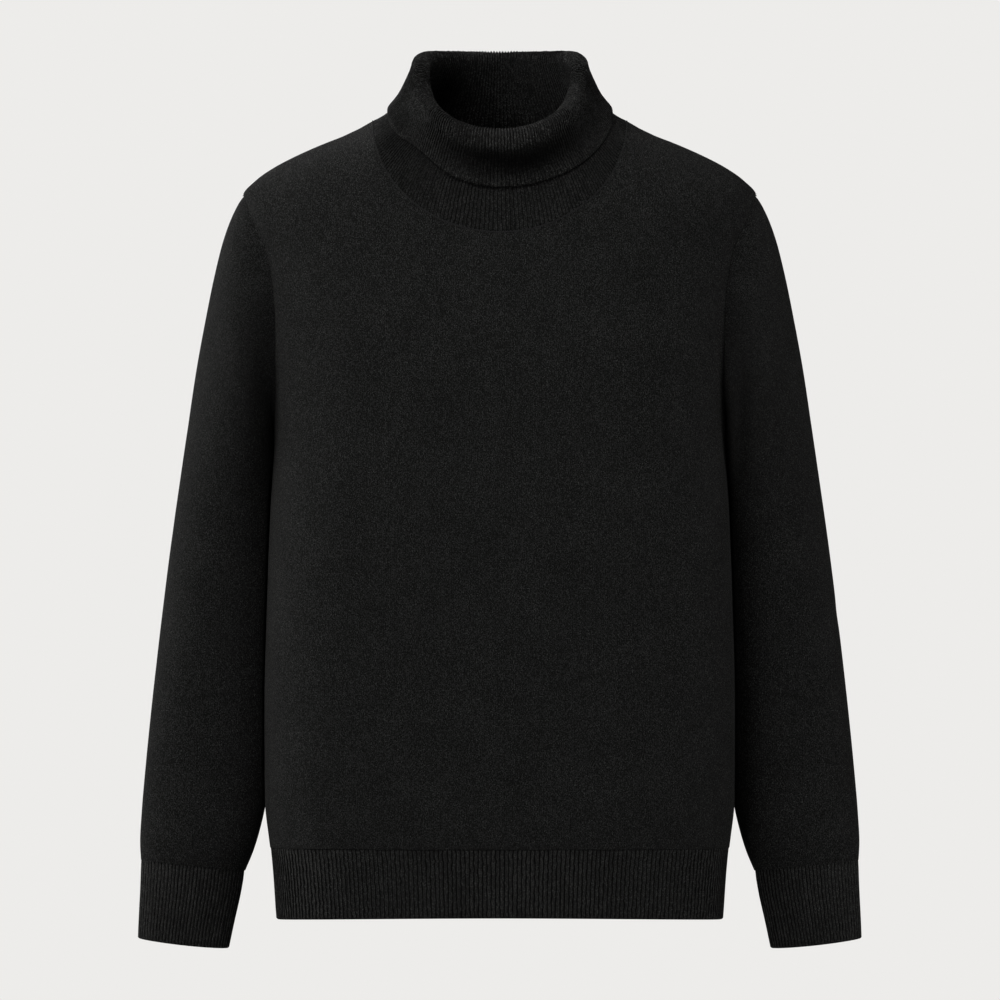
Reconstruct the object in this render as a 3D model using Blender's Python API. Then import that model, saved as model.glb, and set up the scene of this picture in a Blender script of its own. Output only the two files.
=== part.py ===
"""Roll-neck sweater in fine wool knit, filled out as if worn, with no wearer.

The cloth hangs hollow from the shoulders. +Z is up, the front faces -Y and the wearer's left is
+X. The origin is level with the inner ends of the shoulder seams, midway between them. Sizes in
the tables are millimetres; the objects are built in metres.

The trunk is a stack of rounded rings, so each point of the front or back has an angle round its
ring (0 at the centre line, 90 at the side seam) and a height. The armholes are ovals in side
view and the neckline is a half oval in front view, both cut out of that form. The sleeves grow
out of the armhole loops and the roll collar out of the neckline loop.
"""

import math

import bmesh
import bpy
import numpy as np

MM = 0.001

# Cloth
KNIT_WALL = 2.5
RIB_WALL = 3.0
SEAM_GAP = 0.3
HALF_GAP = SEAM_GAP / 2

# Heights on the trunk
SHOULDER_POINT = -63.0
ARMPIT = -268.0
RIB_TOP = -617.0
HEM = -678.0
HEM_LIFT = 3.0
RIB_TUCK = 0.7

# Neckline, a half oval in front view, dipping less at the back
NECK_HALF_WIDTH = 108.0
NECK_DROP_FRONT = 96.0
NECK_DROP_BACK = 18.0

# Armhole, an oval in side view
ARMHOLE_FRONT = 43.0
ARMHOLE_BACK = 47.0

# Sleeve against the trunk, and how many of its rings take it from the armhole to its own form
SLEEVE_CLEAR = 1.6
SLEEVE_CLEAR_FROM = 12.0
SLEEVE_SOFTEN = 0.006
ARMHOLE_FADE = 5

# Roll collar: how fast its rings level out behind the shoulders, and where its flap is turned
# down less far, over the wearer's right side, at these angles from the front in radians
BACK_BEND = 4.5
SIDE_BEND = 8
FLAP_SHORTER = 0.25
FLAP_SHORTER_TURN = -0.85
FLAP_SHORTER_SPAN = 0.4

# Mesh fineness
CREST_STEPS = 400
NECK_COLUMNS = 7
SHOULDER_COLUMNS = 4
HALF_COLUMNS = NECK_COLUMNS + SHOULDER_COLUMNS
LOWER_ROWS = 8
UPPER_ROWS = 12
RIB_ROWS = 2
SLEEVE_COLUMNS = 2 * UPPER_ROWS
SLEEVE_ROWS = 15
CUFF_ROWS = 3
COLLAR_COLUMNS = 4 * NECK_COLUMNS
STAND_ROWS = 5
ROLL_ROWS = 4
FLAP_ROWS = 3


class Sections:
    """A short table with named columns, joined by smooth curves that never overshoot its rows.

    The first column is the key that the others are read by.
    """

    def __init__(self, columns, rows):
        self.key, *rest = np.array(sorted(rows), float).T
        self.curves = {
            column: (values, self.slopes(values))
            for column, values in zip(columns[1:], rest, strict=True)
        }

    def slopes(self, values):
        step = np.diff(self.key)
        rise = np.diff(values) / step
        slope = np.zeros(len(values))
        slope[0], slope[-1] = rise[0], rise[-1]
        for i in range(1, len(values) - 1):
            if rise[i - 1] * rise[i] > 0:
                near, far = 2 * step[i] + step[i - 1], step[i] + 2 * step[i - 1]
                slope[i] = (near + far) / (near / rise[i - 1] + far / rise[i])
        return slope

    def at(self, column, key):
        values, slope = self.curves[column]
        key = np.clip(np.asarray(key, float), self.key[0], self.key[-1])
        i = np.clip(np.searchsorted(self.key, key, side="right") - 1, 0, len(self.key) - 2)
        step = self.key[i + 1] - self.key[i]
        t = (key - self.key[i]) / step
        return (
            values[i] * (1 + 2 * t) * (1 - t) ** 2
            + slope[i] * step * t * (1 - t) ** 2
            + values[i + 1] * t * t * (3 - 2 * t)
            - slope[i + 1] * step * t * t * (1 - t)
        )


TRUNK = Sections(
    ("height", "half_width", "front", "back", "side_y", "power"),
    [
        (12, 86.0, 60, 62, 0, 1.75),
        (0, 108.0, 70, 72, 0, 1.70),
        (-10, 125.8, 76, 78, 0, 1.70),
        (-20, 151.0, 81, 84, 0, 1.72),
        (-30, 173.5, 85, 89, 0, 1.74),
        (-40, 192.5, 88, 93, 0, 1.78),
        (-50, 206.8, 91, 97, 0, 1.82),
        (-63, 218.0, 94, 101, 0, 1.90),
        (-77, 218.5, 97, 105, 0, 1.96),
        (-112, 207.8, 102, 110, 0, 2.20),
        (-156, 201.0, 108, 112, 0, 2.35),
        (-200, 196.5, 112, 111, 0, 2.50),
        (-240, 192.6, 113, 108, 0, 2.65),
        (-268, 191.8, 113, 105, 0, 2.70),
        (-330, 194.8, 111, 101, -5, 2.78),
        (-400, 197.4, 109, 98, -6, 2.85),
        (-500, 199.8, 106, 98, -6, 2.90),
        (-577, 199.4, 104, 99, -6, 2.90),
        (-611, 195.8, 102, 97, -6, 2.90),
        (-628, 193.6, 100, 95, -6, 2.90),
        (-678, 190.0, 97, 92, -6, 2.90),
    ],
)

# Each sleeve ring runs from a point on the outer line to one on the underarm line.
SLEEVE = Sections(
    ("ring", "outer_x", "outer_z", "under_x", "under_z", "centre_y", "front", "back", "power"),
    [
        (0, 218.0, -63, 191.8, -268, 0, 43, 47, 2.00),
        (1, 226.6, -79, 192.6, -270, 2, 48, 50, 2.00),
        (2, 234.6, -100, 192.4, -275, 5, 54, 54, 2.00),
        (3, 242.8, -132, 191.2, -283, 9, 60, 57, 2.02),
        (4, 250.2, -168, 189.5, -293, 14, 63, 59, 2.05),
        (5, 258.2, -211, 187.0, -306, 20, 63, 60, 2.08),
        (6, 265.4, -258, 185.0, -323, 26, 60, 60, 2.10),
        (7, 272.4, -305, 184.0, -347, 31, 56, 58, 2.12),
        (8, 280.0, -358, 184.0, -381, 34, 51, 54, 2.15),
        (9, 288.0, -421, 185.0, -430, 36, 49, 49, 2.18),
        (10, 296.0, -491, 188.0, -490, 33, 42, 42, 2.20),
        (11, 301.2, -543, 192.5, -542, 28, 36, 36, 2.22),
        (12, 304.9, -587, 201.0, -590, 22, 31, 31, 2.24),
        (13, 306.2, -612, 209.0, -619, 18, 28, 28, 2.26),
        (14, 305.4, -628.5, 216.6, -637.5, 16, 25, 25, 2.28),
    ],
)

CUFF = Sections(
    ("ring", "outer_x", "outer_z", "under_x", "under_z", "centre_y", "front", "back", "power"),
    [
        (0, 304.9, -629.0, 217.4, -638.0, 16, 24.0, 24.0, 2.28),
        (1, 305.5, -650.0, 220.8, -657.5, 14, 22.0, 22.0, 2.30),
        (2, 306.6, -673.0, 226.0, -680.5, 12, 20.5, 20.5, 2.32),
        (3, 307.6, -695.0, 230.8, -703.5, 11, 19.5, 19.5, 2.35),
    ],
)

# Middle of the cloth in the roll collar. The stand rises from the neckline to the roll, and the
# flap falls outside it from the roll to its free edge.
STAND = Sections(
    ("rise", "half_width", "front_y", "back_y", "front_z", "side_z", "back_z", "power", "plan"),
    [
        (1, 92.0, 77.0, 72.0, -62.5, 6.0, 2.5, 1.95, 3.2),
        (2, 79.0, 70.0, 69.5, -48.5, 16.5, 19.0, 2.10, 2.6),
        (3, 69.5, 64.5, 65.0, -36.0, 29.0, 36.0, 2.15, 2.3),
        (4, 61.5, 61.0, 60.5, -23.5, 41.0, 52.5, 2.15, 2.15),
    ],
)

FLAP = Sections(
    ("fall", "half_width", "front_y", "back_y", "front_z", "side_z", "back_z", "power", "plan"),
    [
        (0, 73.5, 86.5, 73.5, -24.5, 41.0, 52.5, 2.15, 2.15),
        (1, 79.4, 79.5, 78.0, -34.5, 29.5, 37.0, 2.10, 2.3),
        (2, 86.0, 77.0, 81.0, -46.0, 18.5, 20.0, 2.00, 2.6),
        (3, 96.5, 80.0, 82.5, -57.5, 7.5, 2.5, 1.92, 3.2),
    ],
)


def ring_shape(angle, power):
    """Sine and cosine of an angle in radians, squared off or pinched by the ring's power."""
    s, c = np.sin(angle), np.cos(angle)
    size = (np.abs(s) ** power + np.abs(c) ** power) ** (1 / power)
    return s / size, c / size


def trunk_point(angle, height, side):
    """The trunk's outer face. Angle in radians is 0 at the centre line; side is -1 front, 1 back."""
    across, along = ring_shape(angle, TRUNK.at("power", height))
    depth = np.where(
        along * side > 0, TRUNK.at("back", height), TRUNK.at("front", height)
    )
    return np.stack(
        [
            TRUNK.at("half_width", height) * across,
            TRUNK.at("side_y", height) + side * depth * along,
            height + 0 * angle,
        ],
        axis=-1,
    )


def trunk_normal(angle, height, side):
    """The outward direction on the trunk, from points a little either way."""
    turn, rise = 0.004, 0.5
    along = trunk_point(angle + turn, height, side) - trunk_point(angle - turn, height, side)
    up = trunk_point(angle, height + rise, side) - trunk_point(angle, height - rise, side)
    out = np.cross(along, up) * -side
    return out / np.linalg.norm(out, axis=-1, keepdims=True)


def angle_at_depth(depth, height, side):
    """The angle at which the ring is this far in front of, or behind, the side seam."""
    power = TRUNK.at("power", height)
    reach = TRUNK.at("back" if side > 0 else "front", height)
    along = np.clip(np.abs(depth) / reach, 0, 1)
    return np.arctan2((1 - along**power) ** (1 / power), along)


def angle_at_width(width, height):
    """The angle at which the ring is this far out from the centre line."""
    power = TRUNK.at("power", height)
    across = np.clip(width / TRUNK.at("half_width", height), 0, 1)
    return np.arctan2(across, (1 - across**power) ** (1 / power))


def crest_height(width):
    """The height of the shoulder line at this distance from the centre line."""
    heights = np.linspace(TRUNK.key[-1], SHOULDER_POINT, CREST_STEPS)
    return np.interp(width, TRUNK.at("half_width", heights), heights)


def neckline(turn, side, ease):
    """Angle and height on the trunk round the neckline; turn is 0 at the centre, 90 at the side."""
    half_width = NECK_HALF_WIDTH + ease
    drop = (NECK_DROP_BACK if side > 0 else NECK_DROP_FRONT) + ease
    height = crest_height(half_width) - drop * np.cos(turn)
    return angle_at_width(half_width * np.sin(turn), height), height


def armhole(turn, side, ease):
    """Angle and height on the trunk round half an armhole; turn is 0 at the armpit, 180 on top."""
    half_height = (SHOULDER_POINT - ARMPIT) / 2 + ease
    reach = (ARMHOLE_BACK if side > 0 else ARMHOLE_FRONT) + ease
    height = (SHOULDER_POINT + ARMPIT) / 2 - half_height * np.cos(turn)
    depth = np.maximum(reach * np.sin(turn), HALF_GAP)
    return angle_at_depth(depth, height, side), height


def half_panel(side):
    """Angles and heights of half a front or back, as rows from the rib up, from the middle out."""
    across = np.linspace(0, 1, HALF_COLUMNS + 1)
    lower_z = np.linspace(RIB_TOP, ARMPIT - HALF_GAP, LOWER_ROWS + 1)
    seam = angle_at_depth(HALF_GAP, lower_z, side)
    lower = np.stack([np.outer(seam, across), np.outer(lower_z, np.ones_like(across))], axis=-1)

    up = np.linspace(0, 1, UPPER_ROWS + 1)
    side_line = np.stack(armhole(np.pi * up, side, HALF_GAP), axis=-1)
    on_neck = np.arange(HALF_COLUMNS + 1) <= NECK_COLUMNS
    neck_share = NECK_COLUMNS / HALF_COLUMNS
    turn = np.pi / 2 * np.minimum(across / neck_share, 1)
    top = np.stack(neckline(turn, side, HALF_GAP), axis=-1)
    first_x, last_x = NECK_HALF_WIDTH + HALF_GAP, TRUNK.at("half_width", side_line[-1, 1])
    past_neck = np.sin(np.pi / 2 * (across[~on_neck] - neck_share) / (1 - neck_share))
    crest = crest_height(first_x + (last_x - first_x) * past_neck)
    crest[-1] = side_line[-1, 1]
    top[~on_neck] = np.stack([angle_at_depth(HALF_GAP, crest, side), crest], axis=-1)
    bottom = lower[-1]
    middle = np.stack([0 * up, bottom[0, 1] + (top[0, 1] - bottom[0, 1]) * up], axis=-1)

    p, q = across[None, :, None], up[:, None, None]
    upper = (
        (1 - q) * bottom
        + q * top
        + (1 - p) * middle[:, None]
        + p * side_line[:, None]
        - (1 - p) * ((1 - q) * bottom[0] + q * top[0])
        - p * ((1 - q) * bottom[-1] + q * top[-1])
    )
    return np.concatenate([lower, upper[1:]])


def both_halves(half):
    """A half panel and its mirror image, joined on the centre line."""
    mirrored = half[:, :0:-1] * [-1, 1]
    return np.concatenate([mirrored, half], axis=1)


def panel_faces(side):
    """Outer and inner points of the front or the back."""
    angle, height = np.moveaxis(both_halves(half_panel(side)), -1, 0)
    outer = trunk_point(angle, height, side)
    return outer, outer - KNIT_WALL * trunk_normal(angle, height, side)


def hem_rib_faces(side):
    """Outer and inner points of the front or back half of the ribbed hem."""
    heights = np.linspace(RIB_TOP - SEAM_GAP, HEM, RIB_ROWS + 1)
    across = np.linspace(-1, 1, 2 * HALF_COLUMNS + 1)
    angle = np.outer(angle_at_depth(HALF_GAP, heights, side), across)
    height = np.outer(heights, np.ones_like(across))
    share = (height - heights[0]) / (heights[-1] - heights[0])
    normal = trunk_normal(angle, height, side)
    outer = trunk_point(angle, height, side) - RIB_TUCK * normal
    outer[..., 2] += HEM_LIFT * share * np.cos(angle) ** 2
    return outer, outer - RIB_WALL * normal


def oval_ring(table, key, turn):
    """A slanted oval from the outer line round the front to the underarm line and back."""
    at = {name: table.at(name, key)[..., None] for name in table.curves}
    middle_x, middle_z = (at["outer_x"] + at["under_x"]) / 2, (at["outer_z"] + at["under_z"]) / 2
    half_x, half_z = (at["outer_x"] - at["under_x"]) / 2, (at["outer_z"] - at["under_z"]) / 2
    across, along = ring_shape(turn, at["power"])
    depth = np.where(across > 0, at["front"], at["back"])
    return np.stack(
        [
            middle_x + half_x * along,
            at["centre_y"] - depth * across,
            middle_z + half_z * along,
        ],
        axis=-1,
    )


def clear_of_trunk(points):
    """Sleeve points moved out where they would press into the trunk below the armpit."""
    x, y, z = np.moveaxis(points, -1, 0)
    half_width, side_y = TRUNK.at("half_width", z), TRUNK.at("side_y", z)
    power = TRUNK.at("power", z)
    reach = np.where(y > side_y, TRUNK.at("back", z), TRUNK.at("front", z))
    depth = (y - side_y) / reach
    level = (np.abs(x / half_width) ** power + np.abs(depth) ** power) ** (1 / power)
    least = 1 + SLEEVE_CLEAR / half_width
    pushed = level + SLEEVE_SOFTEN * np.log1p(np.exp((least - level) / SLEEVE_SOFTEN))
    below = np.clip((ARMPIT - z) / SLEEVE_CLEAR_FROM, 0, 1)
    grow = 1 + (pushed / level - 1) * below * below * (3 - 2 * below)
    return np.stack([x * grow, side_y + (y - side_y) * grow, z], axis=-1)


def grid_normal(points):
    """Directions square to a grid of points whose columns run round a loop."""
    around = np.roll(points, -1, axis=1) - np.roll(points, 1, axis=1)
    down = np.gradient(points, axis=0)
    out = np.cross(around, down)
    return out / np.linalg.norm(out, axis=-1, keepdims=True)


def sleeve_faces():
    """Outer and inner points of the wearer's left sleeve, from the armhole to the cuff."""
    turn = np.linspace(0, 2 * np.pi, SLEEVE_COLUMNS, endpoint=False)
    last = SLEEVE.key[-1]
    key = np.linspace(0, last, SLEEVE_ROWS + 1)
    outer = oval_ring(SLEEVE, key, turn)

    front = np.sin(turn) >= 0
    rise = np.pi - np.where(front, turn, 2 * np.pi - turn)
    loop, wall = np.empty((len(turn), 3)), np.empty((len(turn), 3))
    for side, chosen in ((-1, front), (1, ~front)):
        angle, height = armhole(rise[chosen], side, -HALF_GAP)
        loop[chosen] = trunk_point(angle, height, side)
        wall[chosen] = trunk_normal(angle, height, side)
    fade = np.clip(1 - key / ARMHOLE_FADE, 0, 1) ** 2
    outer = outer + fade[:, None, None] * (loop - outer[0])
    outer[1:] = clear_of_trunk(outer[1:])
    normal = grid_normal(outer)
    normal[0] = wall
    return outer, outer - KNIT_WALL * normal


def cuff_faces():
    """Outer and inner points of the wearer's left cuff."""
    turn = np.linspace(0, 2 * np.pi, SLEEVE_COLUMNS, endpoint=False)
    outer = oval_ring(CUFF, np.linspace(0, CUFF.key[-1], CUFF_ROWS + 1), turn)
    return outer, outer - RIB_WALL * grid_normal(outer)


def collar_ring(table, place, turn):
    """A ring of the collar. It dips in front, climbs at the sides and is nearly level behind.

    Its power rounds it in front view, and its plan power rounds it from above.
    """
    at = {name: table.at(name, place) for name in table.curves}
    across, along = ring_shape(turn, at["power"])
    ahead, behind = np.clip(along, 0, None), np.clip(-along, 0, 1)
    depth = (1 - np.clip(np.abs(across), 0, 1) ** at["plan"]) ** (1 / at["plan"])
    fall = at["side_z"] - at["front_z"]
    rise = at["back_z"] - at["side_z"]
    y = depth * np.where(along > 0, -at["front_y"], at["back_y"])
    z = at["side_z"] - fall * ahead
    z += rise * (1 - (1 - behind) ** BACK_BEND)
    z += (fall - BACK_BEND * rise) * behind * (1 - behind) ** SIDE_BEND
    return np.stack([at["half_width"] * across, y, z], axis=-1)


def neckline_ring(turn):
    """The neckline loop on the trunk's outer face, and the way out of the cloth there."""
    loop, wall = np.empty((len(turn), 3)), np.empty((len(turn), 3))
    front = np.cos(turn) >= 0
    from_centre = np.where(front, np.abs(turn), np.pi - np.abs(turn))
    for side, chosen in ((-1, front), (1, ~front)):
        angle, height = neckline(from_centre[chosen], side, -HALF_GAP)
        angle = angle * np.where(turn[chosen] < 0, -1, 1)
        loop[chosen] = trunk_point(angle, height, side)
        wall[chosen] = trunk_normal(angle, height, side)
    return loop, wall


def collar_faces():
    """Outer and inner points of the roll collar, from the neckline up, over and down again."""
    turn = np.linspace(-np.pi, np.pi, COLLAR_COLUMNS, endpoint=False)
    loop, wall = neckline_ring(turn)
    foot = loop - RIB_WALL / 2 * wall
    knots = np.stack([foot] + [collar_ring(STAND, rise, turn) for rise in STAND.key])
    lengths = np.linalg.norm(np.diff(knots, axis=0), axis=-1).mean(axis=1)
    place = np.concatenate([[0], np.cumsum(lengths)])
    rise = np.linspace(0, place[-1], STAND_ROWS + 1)
    stand = np.stack([smooth_between(place, knots, along) for along in rise])

    inside, outside = stand[-1], collar_ring(FLAP, 0, turn)
    centre, out = (inside + outside) / 2, (outside - inside) / 2
    up = np.linalg.norm(out, axis=-1, keepdims=True) * [0, 0, 1]
    over = np.linspace(0, np.pi, ROLL_ROWS + 1)[1:]
    roll = np.stack([centre - np.cos(a) * out + np.sin(a) * up for a in over])
    shorter = FLAP_SHORTER * np.exp(-(((turn - FLAP_SHORTER_TURN) / FLAP_SHORTER_SPAN) ** 2))
    fall = np.linspace(0, FLAP.key[-1], FLAP_ROWS + 1)[1:]
    flap = np.stack([collar_ring(FLAP, place * (1 - shorter), turn) for place in fall])

    middle = np.concatenate([stand, roll, flap])
    normal = grid_normal(middle)
    outer = middle + RIB_WALL / 2 * normal
    inner = middle - RIB_WALL / 2 * normal
    outer[0], inner[0] = loop, loop - RIB_WALL * wall
    return outer, inner


def smooth_between(place, knots, along):
    """The ring at a distance along a chain of rings, on a curve through all of them."""
    i = int(np.clip(np.searchsorted(place, along, side="right") - 1, 0, len(place) - 2))
    step = place[i + 1] - place[i]
    t = (along - place[i]) / step
    slope = np.gradient(knots, place, axis=0)
    return (
        knots[i] * (1 + 2 * t) * (1 - t) ** 2
        + slope[i] * step * t * (1 - t) ** 2
        + knots[i + 1] * t * t * (3 - 2 * t)
        - slope[i + 1] * step * t * t * (1 - t)
    )


def add_wall(name, faces, material, round_loop):
    """A closed wall of cloth between two grids of points, which run round a loop or stop."""
    outer, inner = (np.asarray(points) * MM for points in faces)
    rows, columns = outer.shape[:2]
    shape = bmesh.new()
    out = [[shape.verts.new(outer[r, c]) for c in range(columns)] for r in range(rows)]
    ins = [[shape.verts.new(inner[r, c]) for c in range(columns)] for r in range(rows)]
    spans = columns if round_loop else columns - 1
    for c in range(spans):
        d = (c + 1) % columns
        for r in range(rows - 1):
            shape.faces.new((out[r][c], out[r][d], out[r + 1][d], out[r + 1][c]))
            shape.faces.new((ins[r][d], ins[r][c], ins[r + 1][c], ins[r + 1][d]))
        shape.faces.new((ins[0][c], ins[0][d], out[0][d], out[0][c]))
        shape.faces.new((out[-1][c], out[-1][d], ins[-1][d], ins[-1][c]))
    if not round_loop:
        for r in range(rows - 1):
            shape.faces.new((out[r][0], out[r + 1][0], ins[r + 1][0], ins[r][0]))
            shape.faces.new((ins[r][-1], ins[r + 1][-1], out[r + 1][-1], out[r][-1]))
    bmesh.ops.triangulate(shape, faces=shape.faces)
    bmesh.ops.recalc_face_normals(shape, faces=shape.faces)
    mesh = bpy.data.meshes.new(name)
    shape.to_mesh(mesh)
    shape.free()
    mesh.shade_smooth()
    mesh.set_sharp_from_angle(angle=math.radians(50))
    mesh.materials.append(material)
    item = bpy.data.objects.new(name, mesh)
    bpy.context.scene.collection.objects.link(item)
    return item


def mirrored(faces):
    """The same grids on the other side of the centre line."""
    return tuple(points * [-1, 1, 1] for points in faces)


def cloth_material(name, colour, roughness):
    material = bpy.data.materials.new(name)
    material.use_nodes = True
    shader = material.node_tree.nodes["Principled BSDF"]
    shader.inputs["Base Color"].default_value = (*colour, 1)
    shader.inputs["Roughness"].default_value = roughness
    shader.inputs["Metallic"].default_value = 0
    return material


def main():
    for item in list(bpy.data.objects):
        bpy.data.objects.remove(item)
    knit = cloth_material("black_wool_knit", (0.012, 0.012, 0.012), 0.95)
    rib = cloth_material("black_wool_rib", (0.011, 0.011, 0.011), 0.95)
    add_wall("front", panel_faces(-1), knit, False)
    add_wall("back", panel_faces(1), knit, False)
    add_wall("hem_rib_front", hem_rib_faces(-1), rib, False)
    add_wall("hem_rib_back", hem_rib_faces(1), rib, False)
    sleeve, cuff = sleeve_faces(), cuff_faces()
    add_wall("sleeve_left", sleeve, knit, True)
    add_wall("sleeve_right", mirrored(sleeve), knit, True)
    add_wall("cuff_left", cuff, rib, True)
    add_wall("cuff_right", mirrored(cuff), rib, True)
    add_wall("roll_collar", collar_faces(), rib, True)


main()
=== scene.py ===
"""Looks of a roll-neck sweater in fine black wool, filled out as if worn, with no wearer.

Each cloth piece is a thin closed shell on the form of its solid. The trunk is a stack of rounded
rings, so a point of the front or back has an angle round its ring (0 at the centre line, 90 at the
side seam) and a height. Sizes in the tables and fields are millimetres, and the meshes are metres.
Ribs and linking stitches come from Geometry Nodes, and single stitches from the cloth's finish.
"""

import logging
import math
from dataclasses import dataclass, field
from enum import Enum
from typing import Any

import bpy
import numpy as np
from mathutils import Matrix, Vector


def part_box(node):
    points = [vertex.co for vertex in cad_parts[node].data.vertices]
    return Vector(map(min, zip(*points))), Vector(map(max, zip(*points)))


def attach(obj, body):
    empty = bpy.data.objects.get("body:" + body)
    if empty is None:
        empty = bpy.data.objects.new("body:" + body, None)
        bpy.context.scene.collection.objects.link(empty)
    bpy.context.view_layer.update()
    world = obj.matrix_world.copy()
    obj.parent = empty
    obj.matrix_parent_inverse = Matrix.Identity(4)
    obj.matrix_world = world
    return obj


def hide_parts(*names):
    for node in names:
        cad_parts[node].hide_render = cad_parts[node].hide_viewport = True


LOG = logging.getLogger("sweater")
MM = 0.001
Array = np.ndarray

# How finely lines are measured and seams are followed
KEY_STEPS = 600
ARMHOLE_STEPS = 121
NECKLINE_STEPS = 91
SIDE_STEPS = 90

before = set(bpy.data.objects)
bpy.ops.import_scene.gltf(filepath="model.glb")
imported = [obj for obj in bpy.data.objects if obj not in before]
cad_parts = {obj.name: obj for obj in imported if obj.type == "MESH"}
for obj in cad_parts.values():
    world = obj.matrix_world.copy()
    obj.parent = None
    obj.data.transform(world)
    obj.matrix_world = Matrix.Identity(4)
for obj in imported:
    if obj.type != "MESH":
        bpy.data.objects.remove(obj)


class Side(Enum):
    """Half of the trunk. The value is the way its depth runs along Y."""

    FRONT = -1
    BACK = 1

    @property
    def other(self) -> "Side":
        """The half across from this one."""
        return Side(-self.value)


class Hand(Enum):
    """The wearer's arm. The value is the way it lies along X."""

    LEFT = 1
    RIGHT = -1

    @property
    def mirror(self) -> Array:
        """What turns points on the wearer's left into points on this side."""
        return np.array([self.value, 1, 1])


def between(low: Array, high: Array, slopes: tuple[Array, Array], step: Array,
            share: Array) -> Array:
    """Run a smooth curve from one value to the next.

    Args:
        low: The value at the start.
        high: The value at the end.
        slopes: The curve's slope at the start and at the end.
        step: How far apart the two are.
        share: How far along to read, from 0 to 1.

    Returns:
        The value there.
    """
    t = share
    return (
        low * (1 + 2 * t) * (1 - t) ** 2
        + slopes[0] * step * t * (1 - t) ** 2
        + high * t * t * (3 - 2 * t)
        - slopes[1] * step * t * t * (1 - t)
    )


class Sections:
    """A short table with named columns, joined by smooth curves that never overshoot its rows."""

    def __init__(self, columns: tuple[str, ...], rows: list[tuple[float, ...]]) -> None:
        """Fit a curve to each column.

        Args:
            columns: Names of the columns. The first is the key that the others are read by.
            rows: One tuple of numbers for each section.
        """
        self.key, *rest = np.array(sorted(rows), float).T
        self.curves = {
            column: (values, self.slopes(values))
            for column, values in zip(columns[1:], rest, strict=True)
        }

    def slopes(self, values: Array) -> Array:
        """Work out the slope of a curve at each row.

        Args:
            values: The column's numbers.

        Returns:
            A slope for each row, none where the column turns back.
        """
        step = np.diff(self.key)
        rise = np.diff(values) / step
        slope = np.zeros(len(values))
        slope[0], slope[-1] = rise[0], rise[-1]
        for i in range(1, len(values) - 1):
            if rise[i - 1] * rise[i] > 0:
                near, far = 2 * step[i] + step[i - 1], step[i] + 2 * step[i - 1]
                slope[i] = (near + far) / (near / rise[i - 1] + far / rise[i])
        return slope

    def at(self, column: str, key: Array | float) -> Array:
        """Read a column between its rows.

        Args:
            column: The column's name.
            key: Where to read it.

        Returns:
            The column's value at each key.
        """
        values, slope = self.curves[column]
        key = np.clip(np.asarray(key, float), self.key[0], self.key[-1])
        i = np.clip(np.searchsorted(self.key, key, side="right") - 1, 0, len(self.key) - 2)
        step = self.key[i + 1] - self.key[i]
        share = (key - self.key[i]) / step
        return between(values[i], values[i + 1], (slope[i], slope[i + 1]), step, share)


TRUNK_RINGS = Sections(
    ("height", "half_width", "front", "back", "side_y", "power"),
    [
        (12, 86.0, 60, 62, 0, 1.75),
        (0, 108.0, 70, 72, 0, 1.70),
        (-10, 125.8, 76, 78, 0, 1.70),
        (-20, 151.0, 81, 84, 0, 1.72),
        (-30, 173.5, 85, 89, 0, 1.74),
        (-40, 192.5, 88, 93, 0, 1.78),
        (-50, 206.8, 91, 97, 0, 1.82),
        (-63, 218.0, 94, 101, 0, 1.90),
        (-77, 218.5, 97, 105, 0, 1.96),
        (-112, 207.8, 102, 110, 0, 2.20),
        (-156, 201.0, 108, 112, 0, 2.35),
        (-200, 196.5, 112, 111, 0, 2.50),
        (-240, 192.6, 113, 108, 0, 2.65),
        (-268, 191.8, 113, 105, 0, 2.70),
        (-330, 194.8, 111, 101, -5, 2.78),
        (-400, 197.4, 109, 98, -6, 2.85),
        (-500, 199.8, 106, 98, -6, 2.90),
        (-577, 199.4, 104, 99, -6, 2.90),
        (-611, 195.8, 102, 97, -6, 2.90),
        (-628, 193.6, 100, 95, -6, 2.90),
        (-678, 190.0, 97, 92, -6, 2.90),
    ],
)

# Each sleeve ring runs from a point on the outer line to one on the underarm line.
SLEEVE_RINGS = Sections(
    ("ring", "outer_x", "outer_z", "under_x", "under_z", "centre_y", "front", "back", "power"),
    [
        (0, 218.0, -63, 191.8, -268, 0, 43, 47, 2.00),
        (1, 226.6, -79, 191.6, -270, 2, 48, 50, 2.00),
        (2, 234.6, -100, 190.6, -275, 5, 54, 54, 2.00),
        (3, 242.8, -132, 189.8, -283, 9, 60, 57, 2.02),
        (4, 250.2, -168, 189.5, -293, 14, 63, 59, 2.05),
        (5, 258.2, -211, 187.0, -306, 20, 63, 60, 2.08),
        (6, 265.4, -258, 185.0, -323, 26, 60, 60, 2.10),
        (7, 272.4, -305, 184.0, -347, 31, 56, 58, 2.12),
        (8, 280.0, -358, 184.0, -381, 34, 51, 54, 2.15),
        (9, 288.0, -421, 185.0, -430, 36, 49, 49, 2.18),
        (10, 296.0, -491, 188.0, -490, 33, 42, 42, 2.20),
        (11, 301.2, -543, 192.5, -542, 28, 36, 36, 2.22),
        (12, 304.9, -587, 201.0, -590, 22, 31, 31, 2.24),
        (13, 306.2, -612, 209.0, -619, 18, 28, 28, 2.26),
        (14, 305.4, -628.5, 216.6, -637.5, 16, 25, 25, 2.28),
    ],
)

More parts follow.
